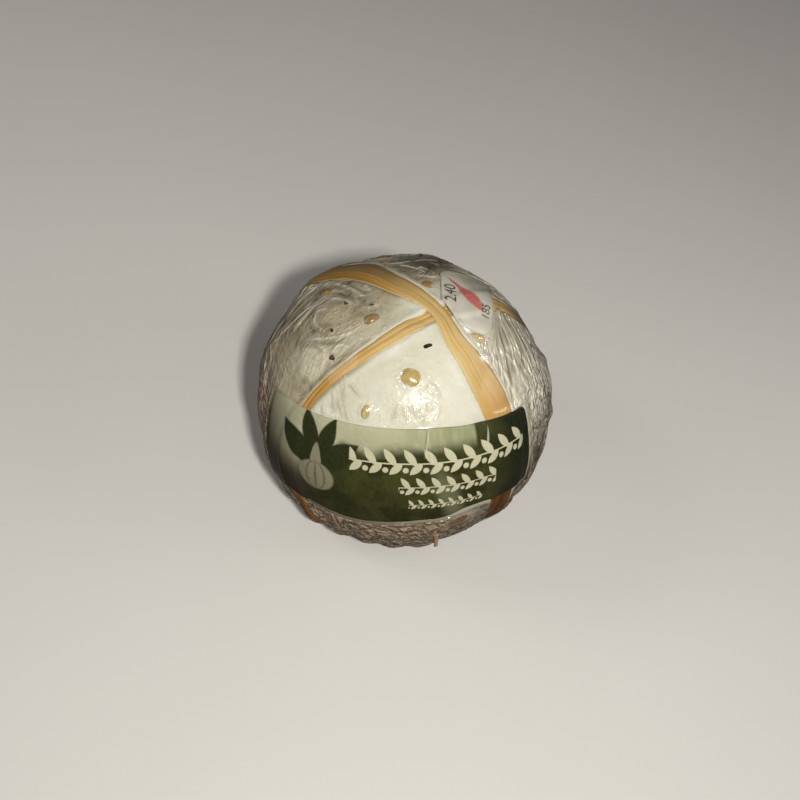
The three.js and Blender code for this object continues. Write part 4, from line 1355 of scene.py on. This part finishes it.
DARK_AT_FRONT = [
    [(43.6, -34.8), (48, -27.2)], [(50.1, -32.3), (52.4, -28.2)], [(47.8, -31.7), (50.3, -27.9)],
    [(41.5, -32.4), (42, -25.5)], [(37.9, -4.1), (44.6, -2.7)], [(36.6, 9.5), (42.4, 13.6)],
    [(33.4, -0.9), (39.7, 5.6)], [(26.7, 14.2), (32.2, 22.9)], [(34.7, 13.7), (38.6, 13.1)],
]
DARK_AT_LEFT = [
    [(53.5, -108.2), (60.1, -101.5), (66.7, -93.8), (72.4, -83)],
    [(49.4, -94), (55.4, -87), (62.2, -81.7)], [(41.4, -65.9), (48.1, -74.8), (50.6, -85.7), (47.1, -90.9)],
    [(46.9, -105.9), (38.4, -103.7), (29.8, -98.1), (26.1, -102)],
    [(47.6, -66.5), (40.4, -59.7), (33.4, -57.2)], [(50.6, -65.7), (47, -63.1), (44.3, -57.2)],
    [(46.4, -98.9), (38.1, -95.2), (30, -89.5)], [(73.7, -81.8), (77.6, -75.9)],
    [(54, -77.2), (55.6, -69.8)], [(36.1, -64.9), (38.4, -62.3), (43.4, -63.4)],
]
DARK_BEHIND = [
    [(32.9, -152), (32.5, -146)], [(26, -138), (25, -132)], [(25.3, -133.2), (25.4, -136.4), (24.9, -138.7)],
    [(34.4, -148.5), (32.9, -149.7), (31.5, -151.1)], [(28.9, -167), (30.6, -177.3), (31.6, 173.6)],
    [(35.9, -177.5), (38.8, 175.4), (39.8, 169.5)], [(29.4, -157.7), (30.5, -164.2), (27.8, -171)],
    [(30.1, -143.1), (27.6, -145.2), (22, -148.7)], [(36.5, 167.7), (38.2, 162.5), (36.9, 157)],
    [(38.8, -137.1), (37.1, -144), (37.5, -150.2)],
]
DARK_AT_RIGHT = [
    [(39.9, 89.1), (47.4, 86), (54.6, 84.9)], [(29.6, 93.3), (38.3, 90.1), (46.2, 88.6)],
    [(27.6, 81.3), (38, 77.9), (45.9, 76.7)],
]
BRIGHT_LINES = [
    [(29.5, -12.5), (25.2, -10.3)], [(25, 9), (28.8, 10)], [(45, -13.2), (42, -12.5)],
    [(47.4, -6), (45, -6.4)],
]
PALE_LINES = PALE_AT_FRONT + PALE_AT_LEFT + PALE_BEHIND + PALE_AT_RIGHT
DARK_LINES = DARK_AT_FRONT + DARK_AT_LEFT + DARK_BEHIND + DARK_AT_RIGHT
print("creases by hand:", len(PALE_LINES), "pale,", len(DARK_LINES), "dark,", len(BRIGHT_LINES), "bright")

# %% [markdown]
# Each line becomes a smooth curve over the ball, and every point of the film near it gets a strength
# by how far it is from the curve. Only points on the same side of the ball are measured, which keeps
# this quick. Dark lines are faint at the front and strong on the left and the right. One more crest
# runs along the far edge of the sticker, where the film comes down from it.

# %% Draw the lines on the film
PALE_WIDTH, DARK_WIDTH = 0.5, 0.55
EDGE_FROM_STICKER, EDGE_WIDTH = 1.3, 1.1
SAME_SIDE = 0.75
STEPS_BETWEEN_POINTS = 24


def placed_lines(d, lines, width):
    """1 on the middle of each line, falling to 0 past width from it and at its ends."""
    strength = np.zeros(len(d))
    for line in lines:
        flat = on_flat_map([(*place, 0) for place in line])
        east, north, _ = through(flat, STEPS_BETWEEN_POINTS).T
        at = direction(np.hypot(east, north), np.degrees(np.arctan2(east, -north)))
        taper = np.sin(np.linspace(0.05, 0.95, len(at)) * math.pi) ** 0.5
        near = d @ at[len(at) // 2] > SAME_SIDE
        apart = np.arccos(np.clip(d[near] @ at.T, -1, 1)) * BALL_RADIUS
        strength[near] = np.maximum(strength[near], (bell(apart, width) * taper).max(1))
    return strength


round_turn = s.turn % 360
pale_lines = placed_lines(d, PALE_LINES, PALE_WIDTH)
bright_lines = placed_lines(d, BRIGHT_LINES, PALE_WIDTH)
dark_share = 0.25 + 0.2 * fall(s.turn, -24, -20) + 0.25 * fall(s.turn, -46, -42)
dark_share += 0.45 * rise(s.turn, 60, 65)
# The dark lines are dents, and the material paints shade along them.
dark_lines = placed_lines(d, DARK_LINES, DARK_WIDTH) * dark_share
far_edge = bell(s.sticker - EDGE_FROM_STICKER, EDGE_WIDTH)
far_edge *= rise(round_turn, 138, 146) * fall(round_turn, 180, 186)

# %% [markdown]
# Next we say where each kind of crease belongs. A region is a product of eased steps in the two
# angles, or a blob round a spot. The film stays smooth on the label and the sticker, and almost
# smooth on the raffia.

# %% Weigh and apply the creases
GATHERED_AT, LABEL_END_AT = (34, -158), (64, 80)

clear_of_papers = rise(np.minimum(s.label, s.sticker), 0, 1)
off_bands = 0.1 + 0.9 * rise(s.band, -0.3, 0.9)
open_film = clear_of_papers * off_bands
off_label_edge = rise(s.label, 0, 0.8)
right_side = rise(round_turn, 60, 70) * fall(round_turn, 235, 255) * rise(s.angle, 12, 22)
left_side = rise(round_turn, 225, 237) * fall(round_turn, 316, 322) * rise(s.angle, 8, 20)
left_rim = left_side * rise(degrees_from(d, SWIRL_AT), 54, 66)
front_left = blob(d, (47.5, -29), 8)
front = blob(d, (35.5, 8), 7.5)
below = rise(s.angle + 12 * bend[:, 0], 67, 85) * off_label_edge
far_right = rise(s.angle, 36, 48) * bell(s.turn - 90, 24)
crumpled = np.clip(below + far_right, 0, 1)
beside_band = fall(s.over, 1, 4.5) * rise(s.turn, 45, 55) * fall(s.turn, 105, 120) * fall(s.angle, 52, 62)
gathered = blob(d, GATHERED_AT, 13)
by_label_end = blob(d, LABEL_END_AT, 15)

# %% [markdown]
# Now the creases move the film's points. The kinds are added up as a height in millimetres, each by
# its region. Low down the film also stands off the cheese in soft pillows and in small lumps. Then it
# is lifted over the papers and over each bit of garlic and pepper, and at the foot, where the cheese
# stands on it, it is pressed flat.

# %% Shape the film
FILM_OFF = 0.04
FOLD_HEIGHT, PILLOW_HEIGHT = 0.34, 0.3
PALE_HEIGHT, DARK_DEPTH, BRIGHT_HEIGHT, EDGE_HEIGHT = 0.24, 0.1, 0.42, 0.3
LUMP_HEIGHT, END_LUMP_HEIGHT = 0.3, 0.4
PAPER_LIFT, PAPER_SLOPE = LABEL_LIFT + PAPER_THICK + 0.1, 3.2
GARLIC_LIFT, PEPPER_LIFT, BIT_SLOPE = 1.0, 0.5, 1.3

ridge = (0.7 * broad_folds + 0.55 * fine_folds) * right_side * (0.6 + 0.4 * rise(s.angle, 36, 48))
ridge = ridge * (1 - 0.7 * gathered) + swirls * (left_rim + 0.1 * left_side)
ridge = ridge * (1 - 0.8 * crumpled) + 0.3 * crinkle * crumpled
ridge = (ridge + upright * (0.4 * front_left + 0.06 * front)) * (1 - 0.85 * beside_band)
pillow_room = np.clip(below + (0.25 + 0.5 * rise(s.angle, 50, 60)) * far_right, 0, 1)
folds = (FOLD_HEIGHT * ridge + 0.02 * (dimples + 1) * front + PILLOW_HEIGHT * pillow_room) * open_film
folds += PALE_HEIGHT * pale_lines - DARK_DEPTH * dark_lines
folds += BRIGHT_HEIGHT * bright_lines + EDGE_HEIGHT * far_edge
crumpled_low = np.clip(0.9 * by_label_end + 0.55 * below, 0, 1) * off_bands * off_label_edge
folds += (LUMP_HEIGHT + END_LUMP_HEIGHT * by_label_end) * lumps * crumpled_low

lift = PAPER_LIFT * fall(np.minimum(s.label, s.sticker), 0, PAPER_SLOPE)
for bits, proud in ((GARLIC, GARLIC_LIFT), (PEPPER, PEPPER_LIFT)):
    for bit in bits:
        lift = np.maximum(lift, proud * bell(bit_reach(d, bit), BIT_SLOPE))
off_foot = fall(s.angle, 122, 130)
radius = film_radius(s) + FILM_OFF + (folds + lift) * off_foot
put_points(film_mesh, d * radius[:, None])
print("creases stand", round(float((folds * off_foot).max()), 2), "mm high at most")

# %% [markdown]
# Creases that are finer than the mesh are left to the material, and so are the milky places, the painted
# highlights and the painted shade. It needs to know where they go, so we store masks for it on the points.
# *Haze* is milky, and beside the raffia on the right and round the garlic it is a painted highlight. *Shade*
# is painted shade in the creases, one more mask holds painted shade low down and behind, and *tight* takes
# the gloss away where the film is stuck down flat: on pepper grains, along the band that passes under the
# other, on the far left leg of the band on top, in one spot at the right, and on the low ends of the raffia.

# %% Regions for the film's finish
rim, clear_of_bits = np.zeros(len(d)), np.ones(len(d))
for bit in GARLIC + PEPPER:
    reach = bit_reach(d, bit)
    clear_of_bits *= rise(reach, 0.9, 1.2)
    if bit in GARLIC:
        rim = np.maximum(rim, bell(reach - 1.3, 0.3))
free_film = open_film * (0.25 + 0.75 * clear_of_bits)
at_back = fall(np.abs(round_turn - 190), 55, 75) * rise(s.angle, 16, 28)
front_side = fall(np.abs(s.turn), 50, 60)
off_label = rise(s.label, 1.5, 3)
lit_low = bell(s.turn - 5, 45, 4)
trough_by_corner = blob(d, (38.5, 63), 3.5)
by_band = bell(s.under - 0.4, 0.8) * fall(s.turn, -36, -32) * rise(s.turn, -120, -110)
by_band *= rise(s.angle, 24, 30)

far_leg = fall(s.over, -0.5, 0.5) * fall(s.turn, -103, -95) * rise(s.angle, 12, 20) * fall(s.angle, 70, 80)
low_end = fall(s.band, -0.3, 0.9) * rise(s.angle, 72, 80) * fall(np.abs(s.turn), 90, 100)
tight = np.maximum(by_band, 0.8 * far_leg) + 0.9 * blob(d, (41.3, 58.5), 6)
tight = np.maximum(tight, 0.85 * low_end)
for bit in PEPPER:
    tight = np.maximum(tight, 0.95 * bell(bit_reach(d, bit), 1.4, 4))

# %% Masks for the film's finish
# Place, reach and strength of each spot of painted shade low down.
LOW_SHADED_SPOTS = [((74, 76), 8, 0.8), ((88, 36), 6, 0.3), ((79.5, 45), 7, 0.55), ((64, 77), 7, 0.3)]

far_crumple = 0.5 * (crumpled + far_right * rise(s.angle, 46, 54))
haze = 0.12 * right_side + 0.04 * left_side + 0.4 * far_right * fall(s.angle, 54, 66)
# Painted highlight: the rings round the garlic and the band beside the raffia on the right.
haze += 0.1 * rim + 0.55 * beside_band + 0.5 * below
# Painted shade in the creases, beside the bands, low down and behind.
shade = 0.5 * right_side * (1 - 0.8 * beside_band) + 0.15 * left_side + 0.9 * left_rim + 0.7 * below
shade += 0.3 * far_right + 0.4 * at_back + 0.8 * gathered + 0.35 * by_label_end
shade += trough_by_corner + 0.9 * by_band
pillow = pillow_room * (0.1 + 0.9 * off_bands) * clear_of_bits
# Painted shade low down, behind and in a few spots.
low_painted_shade = 0.35 * below * (1 - lit_low) + 0.75 * gathered * free_film + spotted(d, LOW_SHADED_SPOTS)
masks = {
    "ridge": ridge * (1 - 0.45 * below) * free_film,
    "long": right_side * (1 - 0.7 * far_right) * (1 - 0.8 * gathered) * free_film,
    "swirl": (0.3 * left_side + 0.7 * left_rim) * free_film,
    "eddy": left_side * (1 - 0.6 * left_rim) * free_film,
    "crumple": np.maximum(far_crumple, 0.45 * at_back) * free_film,
    "dimple": (0.55 * front + 0.2 * front_left + 0.2 * rim * front_side) * off_label * free_film,
    "haze": haze * free_film,
    "shade": shade * free_film,
    "pillow": np.maximum(pillow, 0.7 * gathered * free_film),
    "low": below,
    "pale lines": np.maximum(pale_lines, far_edge),
    "tight": tight,
    "dark lines": dark_lines,
    "painted_shade": low_painted_shade,
}
for name, values in masks.items():
    add_mask(film_mesh, name, np.clip(values, 0, 1))
print("masks on the film:", ", ".join(masks))

# %% [markdown]
# The fine creases are noise in the material. Its place isn't the plain position but a *flow*: a
# vector for each point, stretched along spokes or rings like the large creases and bent a little, so
# that the fine creases run the same way as the large ones.

# %% Flows for the fine creases
flows = {
    "long_flow": along_spokes(d, GATHER_MIDDLE, 17, 2.2) + bend * 0.8 + small_bend * 0.1,
    "swirl_flow": along_rings(d, SWIRL_MIDDLE, 21, 1.0) + bend * 0.8 + small_bend * 0.12,
    "dimple_flow": along_spokes(d, GLINT_MIDDLE, 16, 18) + bend * 0.8 + small_bend * 0.5,
    "pillow_flow": along_rings(d, TOP_MIDDLE, 11, 12) + bend * 1.2 + small_bend * 0.3,
    "eddy_flow": along_rings(d, EDDY_MIDDLE, 15, 1.3) + bend * 0.9 + small_bend * 0.15,
    "crumple_flow": along_spokes(d, GATHER_MIDDLE, 24, 12) + bend * 1.2 + small_bend * 0.8,
}
for name, vectors in flows.items():
    add_flow(film_mesh, name, vectors)

# %% [markdown]
# The film's material starts with its fine creases. The crease group turns each flow into crests,
# troughs and a height. The pillows low down are cells of a Voronoi texture: the distance to a cell's
# edge swells each one up, and its veins are where that distance is near zero. All heights together,
# each by its mask, make one bump.


# %% Film finish
# The veins between the pillows get painted shade.
VEIN_WIDTH, VEIN_SHADE, PILLOW_EDGE = 0.12, 0.34, 0.28
CRINKLE_HEIGHT, SWELL_HEIGHT, EDDY_CREST, EDDY_HEIGHT = 2.5, 1.8, 0.7, 0.45


def flow_creases(tree, flow, width, detail=0.5):
    place = node(tree, "ShaderNodeAttribute", attribute_name=flow).outputs["Vector"]
    return use_group(tree, creases, Flow=place, Scale=1.0, Detail=detail, Width=width)


def weighed(tree, *pairs):
    """The sum of values, each times its mask."""
    parts = [math_node(tree, "MULTIPLY", value, attribute(tree, mask)) for value, mask in pairs]
    return combine(tree, "ADD", *parts)


film_finish, tree = new_material("clear film")
long = flow_creases(tree, "long_flow", 0.16)
swirl = flow_creases(tree, "swirl_flow", 0.1)
dimple = flow_creases(tree, "dimple_flow", 0.2)
eddy = flow_creases(tree, "eddy_flow", 0.07)
crinkle = flow_creases(tree, "crumple_flow", 0.16, 1.5)
pillow_flow = node(tree, "ShaderNodeAttribute", attribute_name="pillow_flow").outputs["Vector"]
cells = node(tree, "ShaderNodeTexVoronoi", {"Vector": pillow_flow, "Scale": 1.0}, feature="DISTANCE_TO_EDGE")
to_edge = cells.outputs["Distance"]
vein = weighed(tree, (ramp_between(tree, to_edge, 0.0, VEIN_WIDTH, VEIN_SHADE, 0.0), "pillow"))

soft_crest = math_node(tree, "MULTIPLY", eddy["Crest"], EDDY_CREST)
soft_eddy = math_node(tree, "MULTIPLY", eddy["Height"], EDDY_HEIGHT)
deep_crinkle = math_node(tree, "MULTIPLY", crinkle["Height"], CRINKLE_HEIGHT)
high_pillow = math_node(tree, "MULTIPLY", ramp_between(tree, to_edge, 0.0, PILLOW_EDGE), SWELL_HEIGHT)
crest = weighed(tree, (long["Crest"], "long"), (swirl["Crest"], "swirl"), (crinkle["Crest"], "crumple"),
                (soft_crest, "eddy"))
trough = weighed(tree, (long["Trough"], "long"), (swirl["Trough"], "swirl"), (crinkle["Trough"], "crumple"))
height = weighed(tree, (long["Height"], "long"), (swirl["Height"], "swirl"), (deep_crinkle, "crumple"),
                 (dimple["Height"], "dimple"), (soft_eddy, "eddy"), (high_pillow, "pillow"))
normal = node(tree, "ShaderNodeBump", {"Strength": 1.0, "Distance": 0.0003, "Height": height}).outputs[0]

# %% [markdown]
# Where the film is creased it scatters light, as plastic does when it is folded, and on the crests and the
# pale lines its milk is also a painted highlight. So we add up how milky it is, from the haze, the crests and
# the pale lines, and how much shade is painted, from the troughs, the dark lines and the veins between the
# pillows.

# %% How milky the film is, and where shade is painted on it
patchy = use_group(tree, mottle, Place=object_place(tree), Scale=160.0, Low=0.35, High=0.65)["Mask"]
ridge_mask = attribute(tree, "ridge")
pale_mask = attribute(tree, "pale lines")
# Milk on the crests and the pale lines, partly painted highlight.
fine_milk_and_highlight = math_node(tree, "MULTIPLY", crest, ramp_between(tree, patchy, 0.0, 1.0, 0.15, 0.55))
ridge_milk_and_highlight = math_node(tree, "MULTIPLY", ridge_mask, 0.5)
line_milk_and_highlight = math_node(tree, "MULTIPLY", pale_mask, 0.75)
milk_and_highlight = combine(tree, "ADD", fine_milk_and_highlight, ridge_milk_and_highlight, line_milk_and_highlight, attribute(tree, "haze"))
milk_and_highlight = math_node(tree, "SUBTRACT", milk_and_highlight, vein, clamp=True)
# Painted shade in the hollows, the troughs, the dark lines and the veins.
hollow = math_node(tree, "SUBTRACT", 0.6, ridge_mask, clamp=True)
trough_shade = math_node(tree, "MULTIPLY", attribute(tree, "shade"), math_node(tree, "ADD", hollow, trough))
line_shade = math_node(tree, "MULTIPLY", attribute(tree, "dark lines"), 0.6)
dark = math_node(tree, "ADD", math_node(tree, "ADD", trough_shade, line_shade), vein, clamp=True)

# %% [markdown]
# The material then mixes three shaders. A Transparent shader lets us see through, and is tinted darker where
# shade is painted. A milky one comes in where the film scatters light and where highlight is painted. A
# glossy one, by the Fresnel effect, gives the glints. Seen from inside, a Fresnel node takes the surface for
# the end of a solid block, which would throw back most light. A film has air on both sides, so its index is
# turned over there. A glass shader would bend the view of the cheese, as a thick block does, and a film this
# thin doesn't.

# %% Mix the film's shaders
CLEAR, CLEAR_SHADED = (0.98, 0.975, 0.96), (0.42, 0.37, 0.27)
MILK_AND_HIGHLIGHT, LOW_MILK, SHADED_MILK = (0.87, 0.81, 0.66), (0.84, 0.63, 0.42), (0.16, 0.11, 0.07)
FILM_INDEX = 1.45
TIGHT_SHINE = 0.15

# The clear film is tinted darker where shade is painted.
clear_with_shade = mix_colours(tree, dark, CLEAR, CLEAR_SHADED)
clear = node(tree, "ShaderNodeBsdfTransparent", {"Color": clear_with_shade})
# The milk is painted darker, as shade, low down and behind.
milk_shade = math_node(tree, "SUBTRACT", attribute(tree, "painted_shade"), pale_mask, clamp=True)
milky_colour_and_shade = mix_colours(tree, attribute(tree, "low"), MILK_AND_HIGHLIGHT, LOW_MILK)
milky_colour_and_shade = mix_colours(tree, milk_shade, milky_colour_and_shade, SHADED_MILK)
milky = node(tree, "ShaderNodeBsdfPrincipled", {
    "Base Color": milky_colour_and_shade, "Roughness": 0.3, "Normal": normal})
gloss = node(tree, "ShaderNodeBsdfGlossy", {"Roughness": 0.1, "Normal": normal})
inside = node(tree, "ShaderNodeNewGeometry").outputs["Backfacing"]
index = ramp_between(tree, inside, 0.0, 1.0, FILM_INDEX, 1 / FILM_INDEX)
fresnel = node(tree, "ShaderNodeFresnel", {"IOR": index, "Normal": normal})
free_shine = ramp_between(tree, attribute(tree, "tight"), 0.0, 1.0, 1.0, TIGHT_SHINE)
shine = math_node(tree, "MULTIPLY", fresnel.outputs[0], free_shine)
body = node(tree, "ShaderNodeMixShader", {0: milk_and_highlight, 1: clear.outputs[0], 2: milky.outputs[0]})
shell = node(tree, "ShaderNodeMixShader", {0: shine, 1: body.outputs[0], 2: gloss.outputs[0]})
node(tree, "ShaderNodeOutputMaterial", {"Surface": shell.outputs[0]})
add_piece("clear_film", film_mesh, film_finish, "clear_film", "wrapped_cheese")

# %% [markdown]
# ## Floor and light
# A plain pale floor and soft lamps, so that nothing competes with the cheese. The floor is seen but
# throws no light back, or the underside of the film would glow. The main lamp is small and stands
# close to the camera's line, so the glints are crisp and the shadows short. Two broad lamps at the
# sides draw the creases of the film. A lamp behind gives glints alone: it lights no surface, and only
# its reflection shows in the film.

# %% Floor
FLOOR_HALF = 2.5
FLOOR_GREY, FLOOR_PALE = (0.78, 0.77, 0.75), (0.8, 0.79, 0.77)

floor_mesh = bpy.data.meshes.new("floor")
bm = bmesh.new()
bmesh.ops.create_grid(bm, x_segments=1, y_segments=1, size=FLOOR_HALF)
bm.to_mesh(floor_mesh)
bm.free()
floor = bpy.data.objects.new("floor", floor_mesh)
scene.collection.objects.link(floor)
floor_finish, tree = new_material("floor")
cloud = use_group(tree, mottle, Place=object_place(tree), Scale=6.0, Low=0.3, High=0.7)["Mask"]
surface(tree, {"Base Color": mix_colours(tree, cloud, FLOOR_GREY, FLOOR_PALE), "Roughness": 0.6})
floor_mesh.materials.append(floor_finish)
floor.visible_diffuse = False
floor.visible_glossy = False

# %% Lamps
def add_lamp(name, azimuth, elevation, away, size, power, colour, only_glints=False):
    """A square lamp that faces the cheese. Azimuth 0 is the front and 90 the right."""
    light = bpy.data.lights.new(name, "AREA")
    light.size = size
    light.energy = power
    light.color = colour
    lamp = bpy.data.objects.new(name, light)
    out = Vector(direction(90 - elevation, azimuth))
    lamp.location = BALL_MIDDLE + out * away
    lamp.rotation_euler = out.to_track_quat("Z", "Y").to_euler()
    lamp.visible_diffuse = not only_glints
    scene.collection.objects.link(lamp)


WARM, NEARLY_WHITE, WHITE_GLINT = (1.0, 0.96, 0.88), (1.0, 0.97, 0.93), (1.0, 0.98, 0.94)
AIR_LIGHT, AIR_STRENGTH = (1.0, 0.97, 0.92, 1), 0.08

add_lamp("main lamp", azimuth=20, elevation=54, away=0.5, size=0.04, power=1.75, colour=WARM)
add_lamp("left lamp", azimuth=-80, elevation=35, away=0.7, size=0.25, power=0.65, colour=NEARLY_WHITE)
add_lamp("right lamp", azimuth=100, elevation=30, away=0.7, size=0.25, power=0.4, colour=NEARLY_WHITE)
add_lamp("back lamp", azimuth=125, elevation=40, away=0.6, size=0.1, power=1.2, colour=WHITE_GLINT,
         only_glints=True)
world = bpy.data.worlds.new("studio")
world.use_nodes = True
background = world.node_tree.nodes["Background"].inputs
background["Color"].default_value = AIR_LIGHT
background["Strength"].default_value = AIR_STRENGTH
scene.world = world
scene.view_settings.view_transform = "Standard"

# %% [markdown]
# ## Finish
# At the end the view layer is updated.

# %% Finish
bpy.context.view_layer.update()
